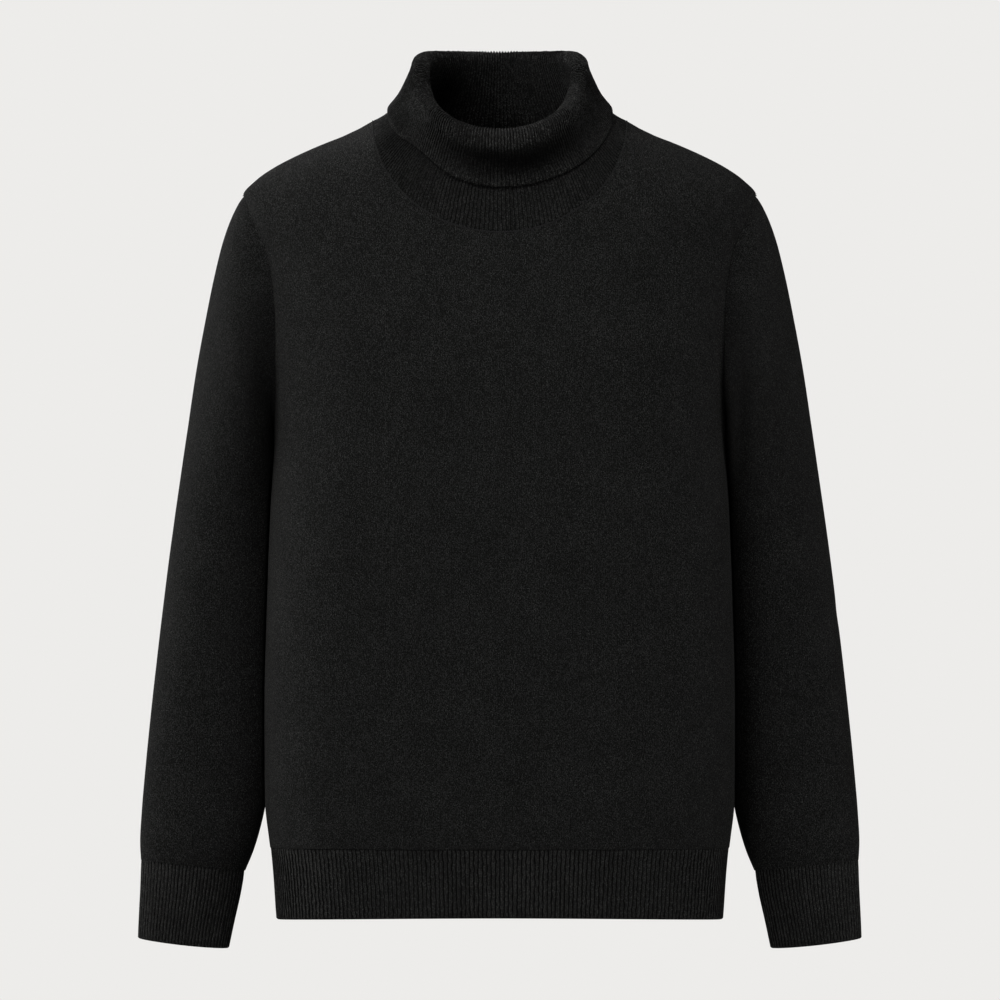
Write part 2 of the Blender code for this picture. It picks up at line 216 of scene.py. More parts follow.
CUFF_RINGS = Sections(
    ("ring", "outer_x", "outer_z", "under_x", "under_z", "centre_y", "front", "back", "power"),
    [
        (0, 304.9, -629.0, 217.4, -638.0, 16, 24.0, 24.0, 2.28),
        (1, 305.5, -650.0, 220.8, -657.5, 14, 22.0, 22.0, 2.30),
        (2, 306.6, -673.0, 226.0, -680.5, 12, 20.5, 20.5, 2.32),
        (3, 307.6, -695.0, 230.8, -703.5, 11, 19.5, 19.5, 2.35),
    ],
)

# Middle of the cloth in the roll collar: the stand up to the roll, and the flap that falls from it.
STAND_RINGS = Sections(
    ("rise", "half_width", "front_y", "back_y", "front_z", "side_z", "back_z", "power", "plan"),
    [
        (1, 92.0, 77.0, 72.0, -62.5, 6.0, 2.5, 1.95, 3.2),
        (2, 79.0, 70.0, 69.5, -48.5, 16.5, 19.0, 2.10, 2.6),
        (3, 69.5, 64.5, 65.0, -36.0, 29.0, 36.0, 2.15, 2.3),
        (4, 61.5, 61.0, 60.5, -23.5, 41.0, 52.5, 2.15, 2.15),
    ],
)

FLAP_RINGS = Sections(
    ("fall", "half_width", "front_y", "back_y", "front_z", "side_z", "back_z", "power", "plan"),
    [
        (0, 73.5, 89.5, 73.5, -25.5, 41.0, 52.5, 2.15, 2.15),
        (1, 79.4, 76.5, 78.0, -34.5, 29.5, 37.0, 2.10, 2.3),
        (2, 86.0, 75.5, 81.0, -46.0, 18.5, 20.0, 2.00, 2.6),
        (3, 96.5, 80.0, 82.5, -57.5, 7.5, 2.5, 1.92, 3.2),
    ],
)


def ring_shape(angle: Array, power: Array | float) -> tuple[Array, Array]:
    """Square off or pinch a round ring.

    Args:
        angle: Angles in radians.
        power: The ring's power, 2 for a circle.

    Returns:
        What stands in for the sine and the cosine of each angle.
    """
    s, c = np.sin(angle), np.cos(angle)
    size = (np.abs(s) ** power + np.abs(c) ** power) ** (1 / power)
    return s / size, c / size


def unit(vectors: Array) -> Array:
    """Return the vectors at a length of one."""
    return vectors / np.linalg.norm(vectors, axis=-1, keepdims=True)


def run_along(points: Array) -> Array:
    """Return the distance along a chain of points, 0 at the first."""
    return np.concatenate([[0], np.cumsum(np.linalg.norm(np.diff(points, axis=0), axis=-1))])


def even_turns(ring: Array, turns: Array, count: int) -> Array:
    """Find the turns that space columns evenly round a closed ring.

    Args:
        ring: Close points round the ring.
        turns: The turn of each of them.
        count: How many columns to space.

    Returns:
        The turn of each column.
    """
    run = run_along(ring)
    return np.interp(np.linspace(0, run[-1], count, endpoint=False), run, turns)


def ease(share: Array) -> Array:
    """Return a smooth step from 0 to 1 over the same range of the share."""
    share = np.clip(share, 0, 1)
    return share * share * (3 - 2 * share)


@dataclass(frozen=True)
class Trunk:
    """The rounded form that the front, the back and the hem lie on, with its armholes and neck."""

    shoulder_point: float = -63.0
    armpit: float = -268.0
    rib_top: float = -617.0
    hem: float = -678.0
    neck_half_width: float = 108.0
    neck_drop: dict[Side, float] = field(
        default_factory=lambda: {Side.FRONT: 96.0, Side.BACK: 18.0}
    )
    armhole_reach: dict[Side, float] = field(
        default_factory=lambda: {Side.FRONT: 43.0, Side.BACK: 47.0}
    )
    seam_half_gap: float = 0.15
    crest_steps: int = 400
    arc_rows: int = 139
    arc_columns: int = 361

    def ring(self, column: str, height: Array | float) -> Array:
        """Read one column of the trunk's rings at a height."""
        return TRUNK_RINGS.at(column, height)

    def reach(self, height: Array | float, side: Side) -> Array:
        """Return how far the ring reaches in front of, or behind, the side seam."""
        return self.ring("back" if side is Side.BACK else "front", height)

    def point(self, angle: Array, height: Array, side: Side) -> Array:
        """Find points on the outer face.

        Args:
            angle: Angle round the ring from the centre line, in radians, negative to the right.
            height: Height of the ring.
            side: Front or back.

        Returns:
            The points, in millimetres.
        """
        across, along = ring_shape(angle, self.ring("power", height))
        depth = np.where(along > 0, self.reach(height, side), self.reach(height, side.other))
        return np.stack(
            [
                self.ring("half_width", height) * across,
                self.ring("side_y", height) + side.value * depth * along,
                height + 0 * angle,
            ],
            axis=-1,
        )

    def normal(self, angle: Array, height: Array, side: Side) -> Array:
        """Find the outward directions at points of the outer face, from points either way."""
        turn, rise = 0.004, 0.5
        along = self.point(angle + turn, height, side) - self.point(angle - turn, height, side)
        up = self.point(angle, height + rise, side) - self.point(angle, height - rise, side)
        return unit(np.cross(along, up) * -side.value)

    def surface(self, angle: Array, height: Array, side: Side) -> tuple[Array, Array]:
        """Find points on the outer face and the outward direction at each."""
        return self.point(angle, height, side), self.normal(angle, height, side)

    def angle_at_depth(self, depth: Array | float, height: Array, side: Side) -> Array:
        """Find the angle at which the ring lies this far in front of, or behind, the side seam."""
        power = self.ring("power", height)
        along = np.clip(np.abs(depth) / self.reach(height, side), 0, 1)
        return np.arctan2((1 - along**power) ** (1 / power), along)

    def angle_at_width(self, width: Array, height: Array) -> Array:
        """Find the angle at which the ring lies this far out from the centre line."""
        power = self.ring("power", height)
        across = np.clip(width / self.ring("half_width", height), 0, 1)
        return np.arctan2(across, (1 - across**power) ** (1 / power))

    def crest_height(self, width: Array | float) -> Array:
        """Find the height of the shoulder line at a distance from the centre line."""
        heights = np.linspace(TRUNK_RINGS.key[-1], self.shoulder_point, self.crest_steps)
        return np.interp(width, self.ring("half_width", heights), heights)

    def neckline(self, turn: Array, side: Side, grow: float) -> tuple[Array, Array]:
        """Follow the neckline, a half oval in front view.

        Args:
            turn: 0 at the centre line and pi / 2 at the side of the neck.
            side: Front or back.
            grow: How far outside the seam line to run.

        Returns:
            Angle and height on the trunk.
        """
        half_width = self.neck_half_width + grow
        height = self.crest_height(half_width) - (self.neck_drop[side] + grow) * np.cos(turn)
        return self.angle_at_width(half_width * np.sin(turn), height), height

    def armhole(self, turn: Array, side: Side, grow: float) -> tuple[Array, Array]:
        """Follow half an armhole, an oval in side view.

        Args:
            turn: 0 at the armpit and pi on top of the shoulder.
            side: Front or back.
            grow: How far outside the seam line to run.

        Returns:
            Angle and height on the trunk.
        """
        half_height = (self.shoulder_point - self.armpit) / 2 + grow
        height = (self.shoulder_point + self.armpit) / 2 - half_height * np.cos(turn)
        depth = (self.armhole_reach[side] + grow) * np.sin(turn)
        depth = np.maximum(depth, self.seam_half_gap)
        return self.angle_at_depth(depth, height, side), height

    def arc_table(self, side: Side) -> tuple[Array, Array, Array]:
        """Measure the rings from the centre line.

        Args:
            side: Front or back.

        Returns:
            Heights, angles, and the length of ring up to each angle at each height.
        """
        heights = np.linspace(self.hem, TRUNK_RINGS.key[-1], self.arc_rows)
        angles = np.linspace(0, math.pi / 2, self.arc_columns)
        rings = self.point(angles[None, :], heights[:, None], side)
        steps = np.linalg.norm(np.diff(rings, axis=1), axis=-1)
        arcs = np.concatenate([np.zeros((len(heights), 1)), np.cumsum(steps, axis=1)], axis=1)
        return heights, angles, arcs

    def arc(self, angle: Array, height: Array, side: Side) -> Array:
        """Measure along the ring from the centre line to points, keeping the angle's sign."""
        heights, angles, arcs = self.arc_table(side)
        row = np.clip((height - heights[0]) / (heights[1] - heights[0]), 0, len(heights) - 1.001)
        column = np.clip(np.abs(angle) / angles[1], 0, len(angles) - 1.001)
        r, c = row.astype(int), column.astype(int)
        fr, fc = row - r, column - c
        low = arcs[r, c] * (1 - fc) + arcs[r, c + 1] * fc
        high = arcs[r + 1, c] * (1 - fc) + arcs[r + 1, c + 1] * fc
        return np.sign(angle) * (low * (1 - fr) + high * fr)

    def angle_at_share(self, share: Array, height: float, side: Side) -> Array:
        """Find the angles that cut a ring's half into given shares of its length."""
        heights, angles, arcs = self.arc_table(side)
        ring = np.array([np.interp(height, heights, column) for column in arcs.T])
        last = np.interp(self.angle_at_depth(self.seam_half_gap, height, side), angles, ring)
        return np.sign(share) * np.interp(np.abs(share) * last, ring, angles)


TRUNK = Trunk()


@dataclass(frozen=True)
class Edge:
    """How an edge of the cloth rounds over.

    Attributes:
        reach: How far in from the edge it starts.
        outer: How deep the outer face goes.
        inner: How deep the inner face goes.
    """

    reach: float
    outer: float
    inner: float

    def drop(self, distance: Array) -> Array:
        """Return how far the outer and the inner face sink at this distance from the edge."""
        near = np.clip(1 - distance / self.reach, 0, 1)
        return (1 - np.sqrt(1 - near**2))[..., None] * np.array([self.outer, self.inner])

    def places(self) -> Array:
        """Return the distances from the edge at which its round needs a row."""
        return self.reach * (1 - np.cos(np.linspace(0, math.pi / 2, 5)))


LINKED = Edge(1.2, 0.9, 0.9)
KNITTED_ON = Edge(0.8, 0.3, 0.3)
FINISHED = Edge(1.5, 1.45, 1.45)
TURNED_DOWN = Edge(8.0, 0.2, 2.6)
TUBE_SEAM = Edge(1.1, 0.45, 0.45)
SET_IN = Edge(8.0, 1.9, 0.2)


@dataclass(frozen=True)
class Crease:
    """A soft ridge, or a trough where its height is below zero, between two places on the cloth.

    Places are distances across and along the piece, as its stitches are counted. The line between
    them bows sideways and fades towards both ends.
    """

    start: tuple[float, float]
    end: tuple[float, float]
    bow: float
    width: float
    height: float

    def lift(self, places: Array) -> Array:
        """Work out the crease's height.

        Args:
            places: Distances across and along the cloth.

        Returns:
            How far the cloth stands out at each place.
        """
        run = np.subtract(self.end, self.start)
        length = np.hypot(*run)
        run = run / length
        offset = places - np.array(self.start)
        share = offset @ run / length
        bulge = np.clip(1 - (2 * share - 1) ** 2, 0, 1)
        aside = offset @ np.array([-run[1], run[0]]) - self.bow * bulge
        return self.height * bulge**1.5 * np.exp(-((aside / self.width) ** 2))


PANEL_CREASES = {
    Side.FRONT: (
        Crease((-205, 345), (-120, 400), 8, 14, -0.7),
        Crease((200, 330), (128, 385), -7, 13, -0.6),
        Crease((-120, 60), (30, 40), 6, 18, -0.5),
    ),
    Side.BACK: (
        Crease((-196, 340), (-110, 395), 8, 14, -0.9),
        Crease((202, 352), (118, 402), -8, 15, -0.8),
        Crease((-100, 150), (60, 128), 9, 20, -0.8),
        Crease((40, 70), (170, 92), -6, 16, -0.6),
    ),
}
SLEEVE_CREASES = {
    Hand.LEFT: (
        Crease((20, 345), (95, 300), 6, 12, -0.9),
        Crease((-15, 215), (70, 188), 5, 11, -1.0),
        Crease((12, 236), (84, 224), 3, 9, 0.5),
        Crease((-72, 258), (-4, 236), -5, 12, -0.9),
        Crease((60, 120), (98, 172), -4, 10, -0.6),
        Crease((-100, 400), (-30, 335), 8, 15, -0.9),
    ),
    Hand.RIGHT: (
        Crease((0, 385), (62, 352), 4, 12, -0.9),
        Crease((2, 292), (60, 262), 5, 11, -0.8),
        Crease((8, 232), (66, 200), -4, 11, -1.0),
        Crease((0, 176), (52, 152), 3, 10, -0.8),
        Crease((-90, 330), (-20, 296), 7, 14, -0.9),
        Crease((-78, 205), (-12, 230), -5, 12, -0.8),
    ),
}


RELIEF_AT_END = 0.25
RELIEF_REACH = 2.2


@dataclass
class Cloth:
    """One face of a piece of cloth, and what its shell needs.

    Attributes:
        points: Rows and columns of points on the outer face.
        normals: The outward direction at each point.
        places: Distance across and along the cloth at each point, with one more column on a loop.
        looped: Whether the columns run round a loop.
        wall: Thickness.
        edges: Roundings of the first row, last row, first column and last column.
        ribs: The number of ribs counted up to each point, if the cloth is ribbed.
        opened: How far each row's ribs stand out, next to the cloth's usual depth of rib.
        painted_shading: Painted light and shade on the outer and inner face, times its colour.
        creases: Soft ridges and troughs.
    """

    points: Array
    normals: Array
    places: Array
    looped: bool
    wall: float
    edges: tuple[Edge | None, Edge | None, Edge | None, Edge | None]
    ribs: Array | None = None
    opened: Array | float = 1.0
    painted_shading: Array | float = 1.0
    creases: tuple[Crease, ...] = ()

    def from_edge(self, axis: int, last: bool) -> Array:
        """Measure from an edge along the rows or columns.

        Args:
            axis: 0 to measure down the rows, 1 to measure across the columns.
            last: Whether to measure from the last row or column.

        Returns:
            The distance from that edge at each point.
        """
        points = self.points
        if axis == 1 and self.looped:
            points = np.concatenate([points, points[:, :1]], axis=1)
        steps = np.linalg.norm(np.diff(points, axis=axis), axis=-1)
        zero = np.zeros_like(np.take(steps, [0], axis=axis))
        ahead = np.concatenate([zero, np.cumsum(steps, axis=axis)], axis=axis)
        if last:
            ahead = np.take(ahead, [-1], axis=axis) - ahead
        return ahead[:, : self.points.shape[1]]

    def edge_drop(self) -> Array:
        """Return how far the outer and the inner face sink near the edges."""
        drop = np.zeros((*self.points.shape[:2], 2))
        for edge, (axis, last) in zip(
            self.edges, ((0, False), (0, True), (1, False), (1, True)), strict=True
        ):
            if edge:
                drop = np.maximum(drop, edge.drop(self.from_edge(axis, last)))
        return drop

    def relief(self) -> Array:
        """Return the share of the ribs' depth at each point, less close to the ends."""
        ends = np.minimum(self.from_edge(0, False), self.from_edge(0, True))
        share = RELIEF_AT_END + (1 - RELIEF_AT_END) * ease(ends / RELIEF_REACH)
        return share * np.reshape(self.opened, (-1, 1))

    def shell(self, name: str) -> bpy.types.Object:
        """Build the closed shell.

        Args:
            name: The piece's name.

        Returns:
            An object with the shell as its mesh, and a UV map of the places in metres.
        """
        rows, columns = self.points.shape[:2]
        lift = sum((crease.lift(self.places[:, :columns]) for crease in self.creases), np.zeros(1))
        middle = self.points + np.broadcast_to(lift, (rows, columns))[..., None] * self.normals
        drop = self.edge_drop()
        outer = middle - drop[..., :1] * self.normals
        inner = middle - (self.wall - drop[..., 1:]) * self.normals
        points = np.concatenate([outer.reshape(-1, 3), inner.reshape(-1, 3)]) * MM

        corners, places = self.faces(rows, columns)
        mesh = bpy.data.meshes.new(name)
        mesh.from_pydata(points.tolist(), [], corners.tolist())
        uv = mesh.uv_layers.new(name="cloth")
        uv.data.foreach_set("uv", (places * MM).astype(np.float32).ravel())
        # Painted light and shade at each point, for the wool's material to read
        self.store(mesh, "painted_shading", np.broadcast_to(self.painted_shading, (2, rows, columns)))
        if self.ribs is not None:
            self.store(mesh, "rib", np.stack([self.ribs, self.ribs + 0.5]))
            self.store(mesh, "relief", np.stack([self.relief()] * 2))
            self.store(mesh, "outward", np.stack([self.normals, -self.normals]))
        mesh.shade_smooth()
        mesh.validate()
        piece = bpy.data.objects.new(name, mesh)
        bpy.context.scene.collection.objects.link(piece)
        return piece

    @staticmethod
    def store(mesh: bpy.types.Mesh, name: str, values: Array) -> None:
        """Keep a number or a vector at each point of a mesh, for its Geometry Nodes to read."""
        vector = values.ndim == 4
        layer = mesh.attributes.new(name, "FLOAT_VECTOR" if vector else "FLOAT", "POINT")
        layer.data.foreach_set(
            "vector" if vector else "value", values.astype(np.float32).ravel()
        )

    def faces(self, rows: int, columns: int) -> tuple[Array, Array]:
        """List the shell's faces.

        Args:
            rows: Number of rows of points.
            columns: Number of columns of points.

        Returns:
            The corners of each face, and the place on the cloth of each corner.
        """
        spans = columns if self.looped else columns - 1
        r, c = np.meshgrid(np.arange(rows - 1), np.arange(spans), indexing="ij")
        r, c = r.ravel(), c.ravel()
        across = np.arange(spans)
        down = np.arange(rows - 1)
        ends = rows - 1 + 0 * across
        sides = columns - 1 + 0 * down
        flat, face = 0, 1
        quads = [
            [(r, c, flat), (r, c + 1, flat), (r + 1, c + 1, flat), (r + 1, c, flat)],
            [(r, c, face), (r + 1, c, face), (r + 1, c + 1, face), (r, c + 1, face)],
            [(0 * across, across + 1, flat), (0 * across, across, flat),
             (0 * across, across, face), (0 * across, across + 1, face)],
            [(ends, across, flat), (ends, across + 1, flat),
             (ends, across + 1, face), (ends, across, face)],
        ]
        if not self.looped:
            quads += [
                [(down, 0 * down, flat), (down + 1, 0 * down, flat),
                 (down + 1, 0 * down, face), (down, 0 * down, face)],
                [(down + 1, sides, flat), (down, sides, flat),
                 (down, sides, face), (down + 1, sides, face)],
            ]
        corners, places = [], []
        for quad in quads:
            corners.append(
                np.stack([layer * rows * columns + i * columns + j % columns
                          for i, j, layer in quad], axis=1)
            )
            places.append(np.stack([self.places[i, j] for i, j, _ in quad], axis=1))
        corners, places = np.concatenate(corners), np.concatenate(places)
        if self.turned_in():
            corners, places = corners[:, ::-1], places[:, ::-1]
        return corners, places

    def turned_in(self) -> bool:
        """Return whether faces that run along the columns, then the rows, would face inwards."""
        along = self.points[:-1, 1:] - self.points[:-1, :-1]
        down = self.points[1:, :-1] - self.points[:-1, :-1]
        return bool((np.cross(along, down) * self.normals[:-1, :-1]).sum() < 0)


def with_ends(low: float, high: float, step: float, first: Edge | None, last: Edge | None) -> Array:
    """Space rows evenly, with closer rows where an edge rounds over.

    Args:
        low: Distance of the first row.
        high: Distance of the last row.
        step: Spacing of the even rows.
        first: Rounding at the first row.
        last: Rounding at the last row.

    Returns:
        The distance of each row.
    """
    start = low + first.places() if first else np.array([low])
    end = high - last.places()[::-1] if last else np.array([high])
    count = max(2, round((end[0] - start[-1]) / step) + 1)
    return np.concatenate([start[:-1], np.linspace(start[-1], end[0], count), end[1:]])


class Tree:
    """Adds nodes to one shader or Geometry Nodes tree."""

    def __init__(self, tree: bpy.types.NodeTree) -> None:
        """Keep the tree."""
        self.tree = tree

    def add(self, kind: str, settings: dict[str, Any] | None = None,
            values: dict[str | int, Any] | None = None) -> bpy.types.Node:
        """Add a node.

        Args:
            kind: The node's type.
            settings: What to set on the node itself, first.
            values: A number, colour or link for each socket, by name or place.

        Returns:
            The node.
        """
        node = self.tree.nodes.new(kind)
        for name, setting in (settings or {}).items():
            if name == "stops":
                self.set_stops(node, setting)
            else:
                setattr(node, name, setting)
        for name, value in (values or {}).items():
            socket = node.inputs[name]
            if isinstance(value, Value):
                self.tree.links.new(value.socket, socket)
            elif isinstance(value, bpy.types.NodeSocket):
                self.tree.links.new(value, socket)
            else:
                socket.default_value = value
        return node

    @staticmethod
    def set_stops(node: bpy.types.Node, stops: list[tuple[float, tuple[float, ...]]]) -> None:
        """Give a ramp its stops, each a place and a colour."""
        ramp = node.color_ramp
        while len(ramp.elements) < len(stops):
            ramp.elements.new(1.0)
        for element, (place, colour) in zip(ramp.elements, stops, strict=True):
            element.position, element.color = place, colour

    def value(self, node: bpy.types.Node, output: str | int = 0) -> "Value":
        """Wrap a number that a node gives, for arithmetic."""
        return Value(self, node.outputs[output])


class Value:
    """A number in a node tree. Arithmetic on it adds Math nodes."""

    def __init__(self, tree: Tree, socket: bpy.types.NodeSocket) -> None:
        """Keep the tree and the socket."""
        self.tree = tree
        self.socket = socket

    def math(self, operation: str, *numbers: "Value | float") -> "Value":
        """Add a Math node on these numbers."""
        node = self.tree.add("ShaderNodeMath", {"operation": operation}, dict(enumerate(numbers)))
        return self.tree.value(node)

    def __add__(self, other: "Value | float") -> "Value":
        """Add."""
        return self.math("ADD", self, other)

    __radd__ = __add__

    def __sub__(self, other: "Value | float") -> "Value":
        """Subtract."""
        return self.math("SUBTRACT", self, other)

    def __rsub__(self, other: float) -> "Value":
        """Subtract this from a number."""
        return self.math("SUBTRACT", other, self)

    def __mul__(self, other: "Value | float") -> "Value":
        """Multiply."""
        return self.math("MULTIPLY", self, other)

    __rmul__ = __mul__

    def __truediv__(self, other: "Value | float") -> "Value":
        """Divide."""
        return self.math("DIVIDE", self, other)

    def __pow__(self, other: float) -> "Value":
        """Raise to a power."""
        return self.math("POWER", self, other)

    def __abs__(self) -> "Value":
        """Drop the sign."""
        return self.math("ABSOLUTE", self)

    def fraction(self) -> "Value":
        """Keep what is past the whole number."""
        return self.math("FRACT", self)

    def whole(self) -> "Value":
        """Keep the whole number."""
        return self.math("FLOOR", self)

    def capped(self, most: float) -> "Value":
        """Cap at a number."""
        return self.math("MINIMUM", self, most)

    def arch(self) -> "Value":
        """Rise from 0 to 1 and fall back to 0 as this goes from 0 to 1."""
        return self.math("SINE", self * math.pi)


BLACK = (0.0, 0.0, 0.0, 1.0)


def new_material(name: str) -> tuple[bpy.types.Material, Tree]:
    """Start a material with no nodes, and the tree that adds them."""
    material = bpy.data.materials.new(name)
    material.use_nodes = True
    material.node_tree.nodes.clear()
    return material, Tree(material.node_tree)


@dataclass(frozen=True)
class Knit:
    """Dark wool in V-shaped stitches, each a little lighter or darker than the next.

    Attributes:
        name: The material's name.
        wale: Width of a column of stitches.
        course: Height of a row of stitches.
        share: The part of a column that its stitches fill.
        slant: How far a leg of the V climbs, in courses.
        groove: How dark the cloth is between columns, from 0 to 1.
        colour: The wool's colour.
        spread: How much stitches differ from each other in colour.
        fuzz: How much fibres differ from each other in colour.
        depth: Height of the stitches over the gaps between them.
        roughness: How dull the wool is.
        brightest: How many times lighter than the wool's colour a fibre can be.
        sway: How far stitches wander across and along, in columns and rows.
        rounding: How full a strand is across its row and along its leg, fuller when lower.
        cloudiness: How much the cloth's faint patches differ.
        specular: The strength of its gloss.
        sheen: The strength and roughness of its sheen.
        sway_scale: How close together the wandering changes.
        fibre_scale: How close together fibres lie.
        cloud_scale: How close together the cloth's faint patches lie.
    """

    name: str
    wale: float
    course: float
    share: float = 1.0
    slant: float = 0.8
    groove: float = 0.3
    colour: tuple[float, float, float] = (0.0202, 0.0202, 0.0195)
    spread: float = 0.42
    fuzz: float = 0.92
    depth: float = 0.45
    roughness: float = 0.92
    brightest: float = 12.0
    sway: tuple[float, float] = (0.55, 0.9)
    rounding: tuple[float, float] = (0.7, 0.6)
    cloudiness: float = 0.4
    specular: float = 0.03
    sheen: tuple[float, float] = (0.012, 0.35)
    sway_scale: float = 170.0
    fibre_scale: float = 1350.0
    cloud_scale: float = 28.0

    def material(self) -> bpy.types.Material:
        """Build the material.

        Returns:
            A Principled material whose colour, roughness and normal follow the stitches.
        """
        material, tree = new_material(self.name)

        cloth = tree.add("ShaderNodeUVMap", {"uv_map": "cloth"})
        sway = tree.add("ShaderNodeTexNoise", {"noise_dimensions": "2D"},
                        {"Vector": cloth.outputs[0], "Scale": self.sway_scale, "Detail": 1.0})
        split = tree.add("ShaderNodeSeparateXYZ", None, {0: cloth.outputs[0]})
        sway_split = tree.add("ShaderNodeSeparateColor", None, {0: sway.outputs["Color"]})
        sway_x, sway_y = tree.value(sway_split, 0), tree.value(sway_split, 1)
        across = tree.value(split, "X") / (self.wale * MM) + (sway_x - 0.5) * self.sway[0]
        along = tree.value(split, "Y") / (self.course * MM) + (sway_y - 0.5) * self.sway[1]

        aside = abs(across.fraction() - 0.5) * 2
        leg = (aside / self.share).capped(1.0)
        climb = along - leg * self.slant
        strand = climb.fraction().arch() ** self.rounding[0]
        stitch = strand * (leg * 0.9 + 0.05).arch() ** self.rounding[1]

        spot = tree.add("ShaderNodeCombineXYZ", None,
                        {0: (across * 2).whole(), 1: climb.whole()})
        chance = tree.add("ShaderNodeTexWhiteNoise", {"noise_dimensions": "2D"},
                          {"Vector": spot.outputs[0]})
        fuzz = tree.add("ShaderNodeTexNoise", {"noise_dimensions": "2D"},
                        {"Vector": cloth.outputs[0], "Scale": self.fibre_scale, "Detail": 2.0})
        patch = tree.add("ShaderNodeTexNoise", {"noise_dimensions": "2D"},
                         {"Vector": cloth.outputs[0], "Scale": self.cloud_scale, "Detail": 3.0})
        # Painted light and shade kept at the points: lighter on the hem, cuffs and collar roll,
        # darker on the collar's stand and flap
        painted_shading = tree.add("ShaderNodeAttribute", {"attribute_name": "painted_shading"})
        random = tree.value(chance)
        fibre = tree.value(fuzz)
        cloud = tree.value(patch)

        shade = (
            (0.1 + stitch * 1.25)
            * (1 - aside**3 * self.groove)
            * (1 - self.spread + random**2 * 3 * self.spread)
            * (1 - self.fuzz + (0.05 + fibre**3 * 6.4) * self.fuzz)
            * (1 - self.cloudiness / 2 + cloud * self.cloudiness)
            * tree.value(painted_shading, "Fac")
        )
        light = tuple(self.brightest * channel for channel in self.colour) + (1.0,)
        colour = tree.add("ShaderNodeMix", {"data_type": "RGBA"},
                          {"Factor": shade / self.brightest, 6: BLACK, 7: light})
        bump = tree.add("ShaderNodeBump", None, {
            "Strength": 1.0,
            "Distance": self.depth * MM,
            "Height": stitch + fibre * 0.35 + random * 0.3,
        })
        shader = tree.add("ShaderNodeBsdfPrincipled", None, {
            "Base Color": colour.outputs[2],
            "Roughness": self.roughness - fibre * 0.12,
            "Normal": bump.outputs[0],
            "Specular IOR Level": self.specular,
            "Sheen Weight": self.sheen[0],
            "Sheen Roughness": self.sheen[1],
            "Sheen Tint": (1.0, 1.0, 0.97, 1.0),
        })
        tree.add("ShaderNodeOutputMaterial", None, {"Surface": shader.outputs[0]})
        return material


def new_group(name: str, inputs: dict[str, str]) -> bpy.types.NodeTree:
    """Start a Geometry Nodes tree.

    Args:
        name: The tree's name.
        inputs: The kind of each input after the geometry, by name.

    Returns:
        The tree, with its sockets and no nodes.
    """
    group = bpy.data.node_groups.new(name, "GeometryNodeTree")
    face = group.interface
    face.new_socket("Geometry", in_out="INPUT", socket_type="NodeSocketGeometry")
    face.new_socket("Geometry", in_out="OUTPUT", socket_type="NodeSocketGeometry")
    for label, kind in inputs.items():
        face.new_socket(label, in_out="INPUT", socket_type=f"NodeSocket{kind}")
    return group


@dataclass(frozen=True)
class RibKnit(Knit):
    """The same wool in rib, as on the hem and the cuffs."""

    course: float = 1.5
    share: float = 0.72
    groove: float = 0.8
    spread: float = 0.3
    fuzz: float = 0.5


class RibTree:
    """Geometry Nodes that raise ribs on a shell, from the rib count kept at its points.

    Attributes:
        drift_scale: How close together the ribs' slow wandering changes.
        crown: How flat a rib's top is.
    """

    drift_scale: float = 60.0
    crown: float = 2.6

    def __init__(self) -> None:
        """Build the tree once, for every ribbed piece."""
        self.group = new_group("wool_ribs", {
            "Depth": "Float", "Unevenness": "Float", "Sway": "Float", "Wool": "Material",
        })
        self.wire()

    def wire(self) -> None:
        """Add the nodes."""
        tree = Tree(self.group)
        given = tree.add("NodeGroupInput")
        count = self.kept(tree, "rib", "FLOAT")
        relief = self.kept(tree, "relief", "FLOAT")
        outward = tree.add("GeometryNodeInputNamedAttribute", {"data_type": "FLOAT_VECTOR"},
                           {"Name": "outward"})
        place = tree.add("GeometryNodeInputPosition")
        drift = tree.add("ShaderNodeTexNoise", None,
                         {"Vector": place.outputs[0], "Scale": self.drift_scale, "Detail": 1.0})
        count = count + (tree.value(drift) - 0.5) * tree.value(given, "Sway")
        chance = tree.add("ShaderNodeTexWhiteNoise", {"noise_dimensions": "1D"},
                          {"W": count.whole()})
        aside = abs(count.fraction() * 2 - 1)
        ridge = 1 - aside**self.crown
        uneven = 1 + (tree.value(chance) - 0.5) * tree.value(given, "Unevenness")
        rise = (ridge - 0.5) * tree.value(given, "Depth") * relief * uneven
        offset = tree.add("ShaderNodeVectorMath", {"operation": "SCALE"},
                          {0: outward.outputs[0], "Scale": rise})
        raised = tree.add("GeometryNodeSetPosition", None,
                          {"Geometry": given.outputs["Geometry"], "Offset": offset.outputs[0]})
        real = tree.add("GeometryNodeRealizeInstances", None, {0: raised.outputs[0]})
        dressed = tree.add("GeometryNodeSetMaterial", None,
                           {"Geometry": real.outputs[0], "Material": given.outputs["Wool"]})
        tree.add("NodeGroupOutput", None, {0: dressed.outputs[0]})

    @staticmethod
    def kept(tree: Tree, name: str, kind: str) -> Value:
        """Read a number kept at the points."""
        return tree.value(
            tree.add("GeometryNodeInputNamedAttribute", {"data_type": kind}, {"Name": name})
        )


